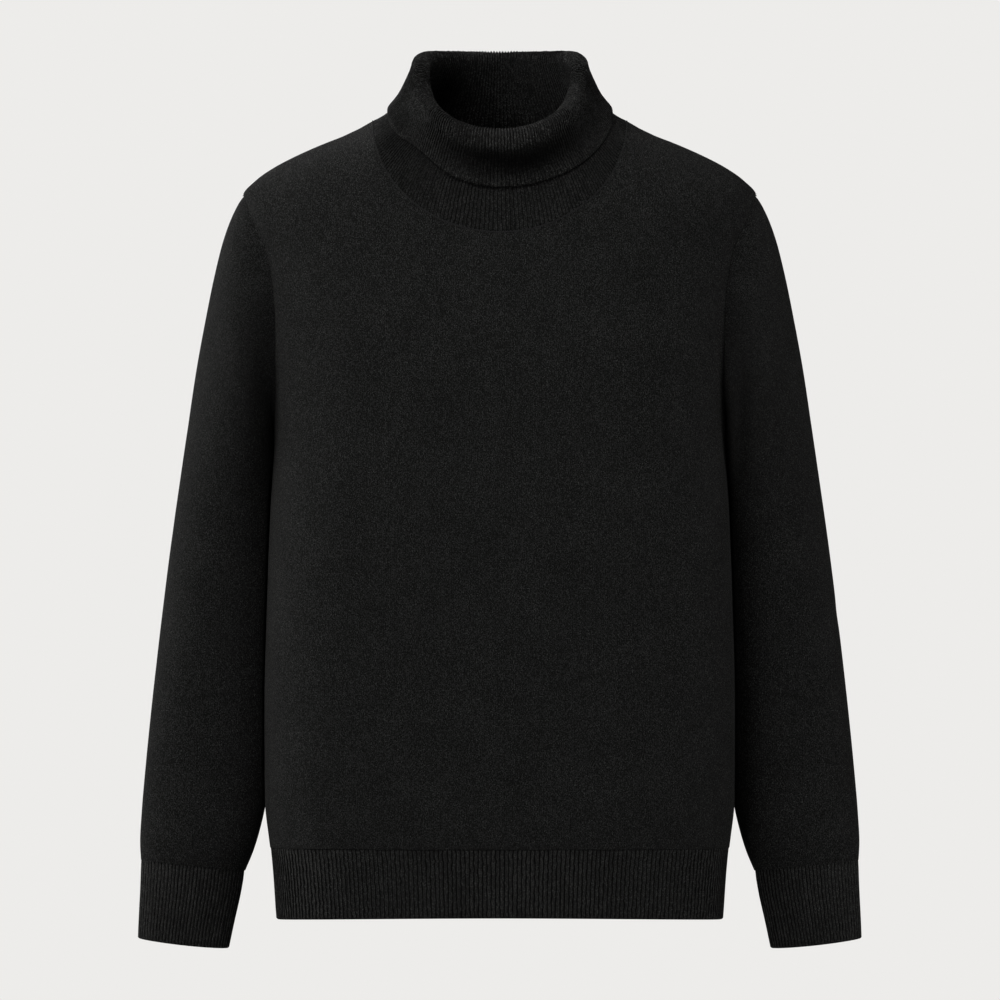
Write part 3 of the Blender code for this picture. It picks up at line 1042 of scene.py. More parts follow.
class StitchTree:
    """Geometry Nodes that lay a chain of yarn stitches along a seam.

    Attributes:
        thinnest: The thinnest stitch, next to the yarn's radius.
        thickest: The thickest.
    """

    thinnest: float = 0.8
    thickest: float = 1.15

    def __init__(self) -> None:
        """Build the tree once, for every seam."""
        self.group = new_group("linking_stitches", {
            "Pitch": "Float", "Yarn Radius": "Float", "Length Share": "Float",
            "Twist": "Float", "Seed": "Int", "Wool": "Material",
        })
        self.wire()

    def wire(self) -> None:
        """Add the nodes."""
        tree = Tree(self.group)
        given = tree.add("NodeGroupInput")
        outward = tree.add("GeometryNodeInputNamedAttribute", {"data_type": "FLOAT_VECTOR"},
                           {"Name": "outward"})
        line = tree.add("GeometryNodeMeshToCurve", None, {0: given.outputs["Geometry"]})
        even = tree.add("GeometryNodeResampleCurve", {"mode": "LENGTH"},
                        {"Curve": line.outputs[0], "Length": given.outputs["Pitch"]})
        tangent = tree.add("GeometryNodeInputTangent")
        upright = tree.add("FunctionNodeAlignRotationToVector", {"axis": "Z"},
                           {"Vector": outward.outputs[0]})
        along = tree.add("FunctionNodeAlignRotationToVector", {"axis": "X", "pivot_axis": "Z"},
                         {"Rotation": upright.outputs[0], "Vector": tangent.outputs[0]})
        index = tree.value(tree.add("GeometryNodeInputIndex"))
        way = index.math("MODULO", index, 2.0) * 2 - 1
        swing = tree.add("ShaderNodeCombineXYZ", None,
                         {2: way * tree.value(given, "Twist")})
        tilt = tree.add("FunctionNodeEulerToRotation", None, {0: swing.outputs[0]})
        turned = tree.add("FunctionNodeRotateRotation", {"rotation_space": "LOCAL"},
                          {"Rotation": along.outputs[0], "Rotate By": tilt.outputs[0]})
        bead = tree.add("GeometryNodeMeshUVSphere", None,
                        {"Segments": 6, "Rings": 4, "Radius": 1.0})
        size = tree.add("FunctionNodeRandomValue", {"data_type": "FLOAT"},
                        {2: self.thinnest, 3: self.thickest, "Seed": given.outputs["Seed"]})
        radius = tree.value(size, 1) * tree.value(given, "Yarn Radius")
        length = tree.value(given, "Pitch") * tree.value(given, "Length Share")
        scale = tree.add("ShaderNodeCombineXYZ", None, {0: length, 1: radius, 2: radius})
        laid = tree.add("GeometryNodeInstanceOnPoints", None, {
            "Points": even.outputs[0],
            "Instance": bead.outputs[0],
            "Rotation": turned.outputs[0],
            "Scale": scale.outputs[0],
        })
        real = tree.add("GeometryNodeRealizeInstances", None, {0: laid.outputs[0]})
        smooth = tree.add("GeometryNodeSetShadeSmooth", None, {"Geometry": real.outputs[0]})
        dressed = tree.add("GeometryNodeSetMaterial", None,
                           {"Geometry": smooth.outputs[0], "Material": given.outputs["Wool"]})
        tree.add("NodeGroupOutput", None, {0: dressed.outputs[0]})


def bake(piece: bpy.types.Object, group: bpy.types.NodeTree, inputs: dict[str, Any]) -> None:
    """Run a Geometry Nodes tree on a piece and keep the result as its plain mesh.

    Args:
        piece: The object that the tree works on.
        group: The tree.
        inputs: A value for each of the tree's inputs, by name.
    """
    modifier = piece.modifiers.new(group.name, "NODES")
    modifier.node_group = group
    for item in group.interface.items_tree:
        if item.item_type == "SOCKET" and item.in_out == "INPUT" and item.name in inputs:
            modifier[item.identifier] = inputs[item.name]
    graph = bpy.context.evaluated_depsgraph_get()
    graph.update()
    mesh = bpy.data.meshes.new_from_object(piece.evaluated_get(graph))
    piece.modifiers.remove(modifier)
    rough, piece.data = piece.data, mesh
    mesh.name = piece.name
    bpy.data.meshes.remove(rough)
    for name in ("rib", "relief", "outward"):
        layer = mesh.attributes.get(name)
        if layer:
            mesh.attributes.remove(layer)


@dataclass(frozen=True)
class Cut:
    """How a piece was cut: its width, length and area in metres, and how it is held.

    A piece cut as a rectangle has no area of its own.
    """

    width: float
    length: float
    area: float | None = None
    held: str = "hung"


@dataclass(frozen=True)
class Ribbing:
    """How deep ribs stand, how unevenly, and how far they sway in ribs. Depth in millimetres."""

    depth: float
    unevenness: float = 0.35
    sway: float = 0.25


def dress(piece: bpy.types.Object, node: str) -> None:
    """Fasten a cloth piece to the frame, hide the solid that it replaces, and log how far it
    reaches.

    Args:
        piece: The finished piece.
        node: The solid that it replaces.
    """
    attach(piece, "root")
    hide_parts(node)
    low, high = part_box(node)
    corners = np.array([corner[:] for corner in piece.bound_box])
    proud = max(
        float(np.max(np.array(low) - corners.min(axis=0))),
        float(np.max(corners.max(axis=0) - np.array(high))),
    )
    LOG.info("%s: %d faces, at most %.1f mm outside its solid's box",
             piece.name, len(piece.data.polygons), proud / MM)


def finish_plain(cloth: Cloth, node: str, wool: bpy.types.Material) -> bpy.types.Object:
    """Build a piece of plain knit and dress it."""
    piece = cloth.shell(f"{node}_wool")
    piece.data.materials.append(wool)
    dress(piece, node)
    return piece


def finish_ribbed(cloth: Cloth, node: str, wool: bpy.types.Material, tree: RibTree,
                  ribbing: Ribbing) -> bpy.types.Object:
    """Build a piece of rib, raise its ribs and dress it."""
    piece = cloth.shell(f"{node}_wool")
    bake(piece, tree.group, {
        "Depth": ribbing.depth * MM,
        "Unevenness": ribbing.unevenness,
        "Sway": ribbing.sway,
        "Wool": wool,
    })
    dress(piece, node)
    return piece


@dataclass(frozen=True)
class Panel:
    """The front or the back: one piece of plain knit from the rib to the shoulders."""

    name: str
    side: Side
    cut: Cut
    wall: float = 2.5
    step: float = 5.0
    neck_share: float = 7 / 11
    half_girth: float = 265.0
    depth_of_yoke: float = 190.0

    def half(self) -> tuple[Array, Array]:
        """Lay out half of the piece.

        Returns:
            Angle and height on the trunk, as rows from the rib up and columns from the middle out.
        """
        gap = TRUNK.seam_half_gap
        inner = with_ends(0, self.half_girth * self.neck_share, self.step, None, None)
        rest = with_ends(inner[-1], self.half_girth, self.step, None, LINKED)
        across = np.concatenate([inner, rest[1:]]) / self.half_girth
        lower_z = with_ends(TRUNK.rib_top, TRUNK.armpit - gap, self.step, KNITTED_ON, None)
        seam = TRUNK.angle_at_depth(gap, lower_z, self.side)
        lower = np.stack([np.outer(seam, across), np.outer(lower_z, np.ones_like(across))], axis=-1)

        up = with_ends(0, self.depth_of_yoke, self.step, None, LINKED) / self.depth_of_yoke
        side_line = np.stack(TRUNK.armhole(np.pi * up, self.side, gap), axis=-1)
        on_neck = across <= self.neck_share + 1e-9
        turn = np.pi / 2 * np.minimum(across / self.neck_share, 1)
        top = np.stack(TRUNK.neckline(turn, self.side, gap), axis=-1)
        first_x = TRUNK.neck_half_width + gap
        last_x = TRUNK.ring("half_width", side_line[-1, 1])
        past = np.sin(np.pi / 2 * (across[~on_neck] - self.neck_share) / (1 - self.neck_share))
        crest = TRUNK.crest_height(first_x + (last_x - first_x) * past)
        crest[-1] = side_line[-1, 1]
        top[~on_neck] = np.stack([TRUNK.angle_at_depth(gap, crest, self.side), crest], axis=-1)
        bottom = lower[-1]
        middle = np.stack([0 * up, bottom[0, 1] + (top[0, 1] - bottom[0, 1]) * up], axis=-1)

        p, q = across[None, :, None], up[:, None, None]
        upper = (
            (1 - q) * bottom
            + q * top
            + (1 - p) * middle[:, None]
            + p * side_line[:, None]
            - (1 - p) * ((1 - q) * bottom[0] + q * top[0])
            - p * ((1 - q) * bottom[-1] + q * top[-1])
        )
        half = np.concatenate([lower, upper[1:]])
        return half[..., 0], half[..., 1]

    def cloth(self) -> Cloth:
        """Work out the whole piece's outer face."""
        angle, height = self.half()
        angle = np.concatenate([-angle[:, :0:-1], angle], axis=1)
        height = np.concatenate([height[:, :0:-1], height], axis=1)
        points, normals = TRUNK.surface(angle, height, self.side)
        along = height - TRUNK.rib_top
        return Cloth(
            points=points,
            normals=normals,
            places=np.stack([TRUNK.arc(angle, height, self.side), along], axis=-1),
            looped=False,
            wall=self.wall,
            edges=(KNITTED_ON, LINKED, LINKED, LINKED),
            creases=PANEL_CREASES[self.side],
        )

    def build(self, wool: bpy.types.Material) -> bpy.types.Object:
        """Build and dress the piece."""
        return finish_plain(self.cloth(), self.name, wool)


@dataclass(frozen=True)
class HemRib:
    """Half of the ribbed hem, under the front or the back.

    Attributes:
        tuck: How far it lies inside the trunk's form.
        lift: How far the middle of its edge is drawn up.
        painted_shading: Painted light that makes its wool lighter than the wool's own colour.
    """

    name: str
    side: Side
    cut: Cut
    ribs: int = 134
    columns_a_rib: int = 8
    wall: float = 3.0
    tuck: float = 0.7
    lift: float = 3.0
    step: float = 8.0
    # Painted light: the hem rib's wool is painted lighter than the wool's own colour
    painted_shading: float = 1.3
    ribbing: Ribbing = Ribbing(0.85)

    def cloth(self) -> Cloth:
        """Work out the outer face, its columns evenly spaced round each ring."""
        top = TRUNK.rib_top - 2 * TRUNK.seam_half_gap
        heights = with_ends(TRUNK.hem, top, self.step, FINISHED, KNITTED_ON)[::-1]
        share = np.linspace(-1, 1, self.ribs * self.columns_a_rib + 1)
        angle = np.stack([TRUNK.angle_at_share(share, z, self.side) for z in heights])
        height = np.outer(heights, np.ones_like(share))
        normals = TRUNK.normal(angle, height, self.side)
        points = TRUNK.point(angle, height, self.side) - self.tuck * normals
        down = (height - top) / (TRUNK.hem - top)
        points[..., 2] += self.lift * down * np.cos(angle) ** 2
        ribs = np.broadcast_to((share + 1) / 2 * self.ribs, angle.shape)
        pitch = 2 * TRUNK.arc(angle[-1:, -1:], height[-1:, -1:], self.side)[0, 0] / self.ribs
        return Cloth(
            points=points,
            normals=normals,
            places=np.stack([ribs * pitch, height - TRUNK.hem], axis=-1),
            looped=False,
            wall=self.wall,
            edges=(KNITTED_ON, FINISHED, LINKED, LINKED),
            ribs=ribs,
            painted_shading=self.painted_shading,
        )

    def build(self, tree: RibTree, wool: bpy.types.Material) -> bpy.types.Object:
        """Build and dress the piece."""
        return finish_ribbed(self.cloth(), self.name, wool, tree, self.ribbing)


def oval_rings(table: Sections, key: Array, turn: Array) -> Array:
    """Build slanted ovals round an arm.

    Args:
        table: The rings' table.
        key: Which rings, between the table's rows.
        turn: 0 on the outer line, positive round the front, and pi on the underarm line.

    Returns:
        Rows of points, one row for each ring.
    """
    at = {name: table.at(name, key)[..., None] for name in table.curves}
    middle_x, middle_z = (at["outer_x"] + at["under_x"]) / 2, (at["outer_z"] + at["under_z"]) / 2
    half_x, half_z = (at["outer_x"] - at["under_x"]) / 2, (at["outer_z"] - at["under_z"]) / 2
    across, along = ring_shape(turn, at["power"])
    depth = np.where(across > 0, at["front"], at["back"])
    return np.stack(
        [
            middle_x + half_x * along,
            at["centre_y"] - depth * across,
            middle_z + half_z * along,
        ],
        axis=-1,
    )


def loop_normals(points: Array) -> Array:
    """Find directions square to a grid of points whose columns run round a loop."""
    around = np.roll(points, -1, axis=1) - np.roll(points, 1, axis=1)
    return unit(np.cross(around, np.gradient(points, axis=0)))


def even_keys(table: Sections, distances: Array) -> Array:
    """Find the ring keys at given shares of the way down the outer and underarm lines."""
    dense = np.linspace(table.key[0], table.key[-1], KEY_STEPS)
    lines = oval_rings(table, dense, np.array([0.0, math.pi]))
    step = np.linalg.norm(np.diff(lines, axis=0), axis=-1).mean(axis=1)
    run = np.concatenate([[0], np.cumsum(step)])
    return np.interp(distances / distances[-1] * run[-1], run, dense)


def loop_places(points: Array, from_last: bool) -> Array:
    """Measure a tube's cloth.

    Args:
        points: Rows of points round a loop that starts at its seam.
        from_last: Whether lengths are measured from the last row.

    Returns:
        Distance from the line opposite the seam and along the tube, with the first column again
        at the end.
    """
    closed = np.concatenate([points, points[:, :1]], axis=1)
    step = np.linalg.norm(np.diff(closed, axis=1), axis=-1)
    around = np.concatenate([0 * step[:, :1], np.cumsum(step, axis=1)], axis=1)
    around -= around[:, -1:] / 2
    down = np.linalg.norm(np.diff(closed, axis=0), axis=-1)
    along = np.concatenate([0 * down[:1], np.cumsum(down, axis=0)])
    if from_last:
        along = along[-1:] - along
    return np.stack([around, along], axis=-1)


@dataclass(frozen=True)
class Sleeve:
    """A sleeve of plain knit, from the armhole to the cuff, with its seam under the arm.

    Attributes:
        fade_rings: How many rings take it from the armhole to its own form.
        clear: How far it stands from the trunk below the armpit.
        press: How far it presses into the trunk at the armpit, fading over press_fade.
        clear_from: The depth below the armpit over which it starts to be kept clear.
        soften: How gently it is moved out.
        settle: The length over which it turns from the trunk's way out to its own.
    """

    name: str
    hand: Hand
    cut: Cut
    wall: float = 2.5
    step: float = 5.0
    columns: int = 96
    length: float = 560.0
    half_girth: float = 200.0
    fade_rings: float = 5.0
    clear: float = 1.4
    press: float = 0.8
    press_fade: float = 45.0
    clear_from: float = 4.0
    soften: float = 0.004
    settle: float = 14.0

    def clear_of_trunk(self, points: Array) -> Array:
        """Move points out where they would sink into the trunk below the armpit.

        The cloth presses against the trunk at the armpit, and is just clear of it further down.
        """
        x, y, z = np.moveaxis(points, -1, 0)
        half_width, side_y = TRUNK.ring("half_width", z), TRUNK.ring("side_y", z)
        power = TRUNK.ring("power", z)
        reach = np.where(y > side_y, TRUNK.reach(z, Side.BACK), TRUNK.reach(z, Side.FRONT))
        depth = (y - side_y) / reach
        level = (np.abs(x / half_width) ** power + np.abs(depth) ** power) ** (1 / power)
        below = TRUNK.armpit - z
        gap = self.clear - (self.clear + self.press) * ease(1 - below / self.press_fade)
        least = 1 + gap / half_width
        pushed = level + self.soften * np.log1p(np.exp((least - level) / self.soften))
        grow = 1 + (pushed / level - 1) * ease(below / self.clear_from)
        return np.stack([x * grow, side_y + (y - side_y) * grow, z], axis=-1)

    def cloth(self) -> Cloth:
        """Work out the outer face, from the armhole down, with the loop starting at its seam."""
        turn = np.linspace(-np.pi, np.pi, self.columns, endpoint=False)
        seam = TUBE_SEAM.places()[1:] / self.half_girth * np.pi
        turn = np.sort(np.concatenate([turn, -np.pi + seam, np.pi - seam]))
        down = with_ends(0, self.length, self.step, SET_IN, KNITTED_ON)
        key = even_keys(SLEEVE_RINGS, down)
        outer = oval_rings(SLEEVE_RINGS, key, turn)

        loop, wall = np.empty((len(turn), 3)), np.empty((len(turn), 3))
        for side, chosen in ((Side.FRONT, turn >= 0), (Side.BACK, turn < 0)):
            angle, height = TRUNK.armhole(
                np.pi - np.abs(turn[chosen]), side, -TRUNK.seam_half_gap
            )
            loop[chosen], wall[chosen] = TRUNK.surface(angle, height, side)
        fade = np.clip(1 - key / self.fade_rings, 0, 1) ** 2
        outer = outer + fade[:, None, None] * (loop - outer[0])
        outer[1:] = self.clear_of_trunk(outer[1:])
        settled = ease(down / self.settle)[:, None, None]
        normals = unit(wall * (1 - settled) + loop_normals(outer) * settled)
        return Cloth(
            points=outer * self.hand.mirror,
            normals=normals * self.hand.mirror,
            places=loop_places(outer, from_last=True),
            looped=True,
            wall=self.wall,
            edges=(SET_IN, KNITTED_ON, TUBE_SEAM, TUBE_SEAM),
            creases=SLEEVE_CREASES[self.hand],
        )

    def build(self, wool: bpy.types.Material) -> bpy.types.Object:
        """Build and dress the piece."""
        return finish_plain(self.cloth(), self.name, wool)


@dataclass(frozen=True)
class Cuff:
    """A ribbed cuff.

    Attributes:
        dip: How far the front of its edge hangs lower.
        overlap: How far its top reaches up inside the sleeve, fading over overlap_reach.
        painted_shading: Painted light that makes its wool lighter than the wool's own colour.
        ring_steps: Points on the ring that its columns are spaced round.
    """

    name: str
    hand: Hand
    cut: Cut
    ribs: int = 70
    columns_a_rib: int = 8
    wall: float = 3.0
    length: float = 66.0
    step: float = 8.0
    dip: float = 1.3
    overlap: float = 1.6
    overlap_reach: float = 6.0
    # Painted light: the cuff's wool is painted lighter than the wool's own colour
    painted_shading: float = 1.4
    ring_steps: int = 2000
    ribbing: Ribbing = Ribbing(0.8)

    def cloth(self) -> Cloth:
        """Work out the outer face, its columns evenly spaced round the wrist."""
        down = with_ends(0, self.length, self.step, KNITTED_ON, FINISHED)
        key = down / self.length * CUFF_RINGS.key[-1]
        dense = np.linspace(-np.pi, np.pi, self.ring_steps)
        ring = oval_rings(CUFF_RINGS, np.array([CUFF_RINGS.key[-1] / 2]), dense)[0]
        count = self.ribs * self.columns_a_rib
        turn = even_turns(ring, dense, count)
        points = oval_rings(CUFF_RINGS, key, turn)
        points[..., 2] -= self.dip * np.outer(down / self.length, np.clip(np.sin(turn), 0, 1) ** 2)
        points[..., 2] += self.overlap * np.clip(1 - down / self.overlap_reach, 0, 1)[:, None]
        ribs = np.arange(count + 1) / self.columns_a_rib
        along = loop_places(points, from_last=True)[..., 1]
        pitch = run_along(ring)[-1] / self.ribs
        return Cloth(
            points=points * self.hand.mirror,
            normals=loop_normals(points) * self.hand.mirror,
            places=np.stack([np.broadcast_to(ribs * pitch, along.shape), along], axis=-1),
            looped=True,
            wall=self.wall,
            edges=(KNITTED_ON, FINISHED, TUBE_SEAM, TUBE_SEAM),
            ribs=np.broadcast_to(ribs[:-1], points.shape[:2]),
            painted_shading=self.painted_shading,
        )

    def build(self, tree: RibTree, wool: bpy.types.Material) -> bpy.types.Object:
        """Build and dress the piece."""
        return finish_ribbed(self.cloth(), self.name, wool, tree, self.ribbing)


@dataclass(frozen=True)
class RollCollar:
    """The ribbed collar: a stand that rises from the neckline, a roll, and the flap outside it.

    Attributes:
        back_bend: How fast its rings level out behind the shoulders.
        side_bend: How fast they leave the sides.
        shorter: The share by which the flap is turned down less, at shorter_turn.
        opened: How far ribs stand out on the stand, the roll and the flap.
        stand_painted_shade: Painted shade that darkens the stand's outer face, next to the wool's
            colour.
        roll_painted_light: Painted light that lightens the wool over the roll.
        flap_shade: How much painted shade darkens the middle of the flap, most at shade_turn.
        tuck_power: How close to the roll that painted shade is deepest.
        settle: The length over which the stand turns from the trunk's way out to its own.
        ring_steps: Points on the ring that its columns are spaced round.
    """

    name: str
    cut: Cut
    ribs: int = 196
    columns_a_rib: int = 6
    wall: float = 3.0
    stand_step: float = 6.0
    roll_rows: int = 10
    flap_step: float = 5.0
    stand_length: float = 60.0
    flap_length: float = 38.0
    back_bend: float = 4.5
    side_bend: float = 8.0
    shorter: float = 0.25
    shorter_turn: float = -0.85
    shorter_span: float = 0.4
    ribbing: Ribbing = Ribbing(1.0, 0.4, 0.2)
    opened: tuple[float, float, float] = (0.55, 1.9, 0.8)
    stand_painted_shade: float = 0.7
    roll_painted_light: float = 1.12
    flap_shade: float = 0.8
    shade_turn: float = 0.3
    tuck_power: float = 0.7
    settle: float = 10.0
    ring_steps: int = 4000

    def ring(self, table: Sections, place: Array | float, turn: Array) -> Array:
        """Build a ring that dips in front, climbs at the sides and is nearly level behind.

        Its power rounds it in front view, and its plan power rounds it from above.
        """
        at = {name: table.at(name, place) for name in table.curves}
        across, along = ring_shape(turn, at["power"])
        ahead, behind = np.clip(along, 0, None), np.clip(-along, 0, 1)
        fall = at["side_z"] - at["front_z"]
        rise = at["back_z"] - at["side_z"]
        depth = (1 - np.clip(np.abs(across), 0, 1) ** at["plan"]) ** (1 / at["plan"])
        y = depth * np.where(along > 0, -at["front_y"], at["back_y"])
        z = at["side_z"] - fall * ahead
        z = z + rise * (1 - (1 - behind) ** self.back_bend)
        z = z + (fall - self.back_bend * rise) * behind * (1 - behind) ** self.side_bend
        return np.stack([at["half_width"] * across, y, z], axis=-1)

    def foot(self, turn: Array) -> tuple[Array, Array]:
        """Follow the neckline.

        Args:
            turn: 0 at the front and pi at the back.

        Returns:
            Points on the trunk's outer face, and the way out of the cloth there.
        """
        loop, wall = np.empty((len(turn), 3)), np.empty((len(turn), 3))
        front = np.cos(turn) >= 0
        from_centre = np.where(front, np.abs(turn), np.pi - np.abs(turn))
        for side, chosen in ((Side.FRONT, front), (Side.BACK, ~front)):
            angle, height = TRUNK.neckline(from_centre[chosen], side, -TRUNK.seam_half_gap)
            angle = angle * np.where(turn[chosen] < 0, -1, 1)
            loop[chosen], wall[chosen] = TRUNK.surface(angle, height, side)
        return loop, wall

    def cloth(self) -> Cloth:
        """Work out the outer face, from the neckline up, over the roll and down to the edge."""
        dense = np.linspace(-np.pi, np.pi, self.ring_steps)
        ring = self.ring(STAND_RINGS, STAND_RINGS.key[-1], dense)
        turn = even_turns(ring, dense, self.ribs * self.columns_a_rib)
        loop, wall = self.foot(turn)
        base = loop - self.wall / 2 * wall
        knots = np.stack([base] + [self.ring(STAND_RINGS, rise, turn) for rise in STAND_RINGS.key])
        run = np.linalg.norm(np.diff(knots, axis=0), axis=-1).mean(axis=1)
        place = np.concatenate([[0], np.cumsum(run)])
        up = with_ends(0, self.stand_length, self.stand_step, LINKED, None)
        stand = smooth_between(place, knots, up / up[-1] * place[-1])

        inside, outside = stand[-1], self.ring(FLAP_RINGS, 0, turn)
        centre, out = (inside + outside) / 2, (outside - inside) / 2
        rise = np.linalg.norm(out, axis=-1, keepdims=True) * [0, 0, 1]
        over = np.linspace(0, np.pi, self.roll_rows + 1)[1:]
        roll = np.stack([centre - np.cos(a) * out + np.sin(a) * rise for a in over])
        down = with_ends(0, self.flap_length, self.flap_step, None, TURNED_DOWN)[1:]
        shorter = self.shorter * np.exp(-(((turn - self.shorter_turn) / self.shorter_span) ** 2))
        fall = down / self.flap_length * FLAP_RINGS.key[-1]
        flap = np.stack([self.ring(FLAP_RINGS, place * (1 - shorter), turn) for place in fall])

        middle = np.concatenate([stand, roll, flap])
        parts = (len(stand), len(roll), len(flap))
        # Painted light and shade: the stand's outer face painted darker, the roll lighter, and the
        # flap's middle front darker under the roll, down to a fifth of the wool's colour
        painted_shading = np.ones((2, *middle.shape[:2]))
        painted_shading[0, : len(stand)] = self.stand_painted_shade
        painted_shading[1, len(stand) : -len(flap)] = self.roll_painted_light
        tucked = np.sin(np.pi * (down / self.flap_length) ** self.tuck_power)[:, None]
        shade = self.flap_shade * tucked * np.exp(-((turn - self.shade_turn) ** 2))
        painted_shading[1, -len(flap) :] -= shade
        normals = loop_normals(middle)
        settled = ease(up / self.settle)[:, None, None]
        normals[: len(up)] = unit(wall * (1 - settled) + normals[: len(up)] * settled)
        outer = middle + self.wall / 2 * normals
        ribs = np.arange(len(turn) + 1) / self.columns_a_rib
        along = loop_places(middle, from_last=False)[..., 1]
        pitch = np.linalg.norm(np.diff(stand[-1], axis=0), axis=-1).sum() / self.ribs
        return Cloth(
            points=outer,
            normals=normals,
            places=np.stack([np.broadcast_to(ribs * pitch, along.shape), along], axis=-1),
            looped=True,
            wall=self.wall,
            edges=(LINKED, TURNED_DOWN, None, None),
            ribs=np.broadcast_to(ribs[:-1], outer.shape[:2]),
            opened=np.repeat(self.opened, parts),
            painted_shading=painted_shading,
        )

    def build(self, tree: RibTree, wool: bpy.types.Material) -> bpy.types.Object:
        """Build and dress the piece."""
        return finish_ribbed(self.cloth(), self.name, wool, tree, self.ribbing)


def smooth_between(place: Array, knots: Array, along: Array) -> Array:
    """Run a smooth curve through a chain of rings.

    Args:
        place: The distance of each ring along the chain.
        knots: The rings.
        along: The distances to read.

    Returns:
        A ring at each distance.
    """
    i = np.clip(np.searchsorted(place, along, side="right") - 1, 0, len(place) - 2)
    slope = np.gradient(knots, place, axis=0)
    step = (place[i + 1] - place[i])[:, None, None]
    share = (along - place[i])[:, None, None] / step
    return between(knots[i], knots[i + 1], (slope[i], slope[i + 1]), step, share)


@dataclass(frozen=True)
class LinkedSeam:
    """A chain of yarn stitches that joins two pieces, sunk between their edges."""

    name: str
    seed: int
    pitch: float = 1.7
    yarn_radius: float = 0.42
    length_share: float = 0.62
    twist: float = 0.45
    sunk: float = 0.55

    def build(self, points: Array, outward: Array, closed: bool, tree: StitchTree,
              wool: bpy.types.Material, slot: str) -> bpy.types.Object:
        """Lay the stitches along a line.

        Args:
            points: The line, on the outer face of the cloth.
            outward: The way out of the cloth at each point.
            closed: Whether the line is a loop.
            tree: The tree that lays the stitches.
            wool: The yarn's material.
            slot: Not used.

        Returns:
            The finished stitches.
        """
        line = (points - self.sunk * outward) * MM
        count = len(line)
        edges = [(i, (i + 1) % count) for i in range(count if closed else count - 1)]
        mesh = bpy.data.meshes.new(self.name)
        mesh.from_pydata(line.tolist(), edges, [])
        layer = mesh.attributes.new("outward", "FLOAT_VECTOR", "POINT")
        layer.data.foreach_set("vector", outward.astype(np.float32).ravel())
        piece = bpy.data.objects.new(self.name, mesh)
        bpy.context.scene.collection.objects.link(piece)
        bake(piece, tree.group, {
            "Pitch": self.pitch * MM,
            "Yarn Radius": self.yarn_radius * MM,
            "Length Share": self.length_share,
            "Twist": self.twist,
            "Seed": self.seed,
            "Wool": wool,
        })
        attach(piece, "root")
        LOG.info("%s: %d faces", self.name, len(piece.data.polygons))
        return piece


@dataclass(frozen=True)
class Yarn:
    """Plain dark yarn, for the linking stitches.

    Attributes:
        lightest: How many times lighter than the yarn's colour a fibre can be.
        fibre_scale: How close together fibres lie.
    """

    name: str = "black_wool_yarn"
    colour: tuple[float, float, float] = (0.0105, 0.0105, 0.0100)
    lightest: float = 1.3
    fibre_scale: float = 1600.0

    def material(self) -> bpy.types.Material:
        """Build the material."""
        material, tree = new_material(self.name)
        place = tree.add("ShaderNodeTexCoord")
        fuzz = tree.add("ShaderNodeTexNoise", None, {
            "Vector": place.outputs["Object"], "Scale": self.fibre_scale, "Detail": 2.0,
        })
        fibre = tree.value(fuzz)
        light = tuple(self.lightest * channel for channel in self.colour) + (1.0,)
        colour = tree.add("ShaderNodeMix", {"data_type": "RGBA"},
                          {"Factor": 0.25 + fibre * 0.75, 6: BLACK, 7: light})
        bump = tree.add("ShaderNodeBump", None,
                        {"Strength": 1.0, "Distance": 0.15 * MM, "Height": fibre})
        shader = tree.add("ShaderNodeBsdfPrincipled", None, {
            "Base Color": colour.outputs[2],
            "Roughness": 0.95 - fibre * 0.1,
            "Normal": bump.outputs[0],
            "Specular IOR Level": 0.2,
            "Sheen Weight": 0.05,
            "Sheen Roughness": 0.4,
        })
        tree.add("ShaderNodeOutputMaterial", None, {"Surface": shader.outputs[0]})
        return material


@dataclass(frozen=True)
class Softbox:
    """A square studio light: its name, where it stands, its size in metres and its power."""

    name: str
    place: tuple[float, float, float]
    size: float
    power: float


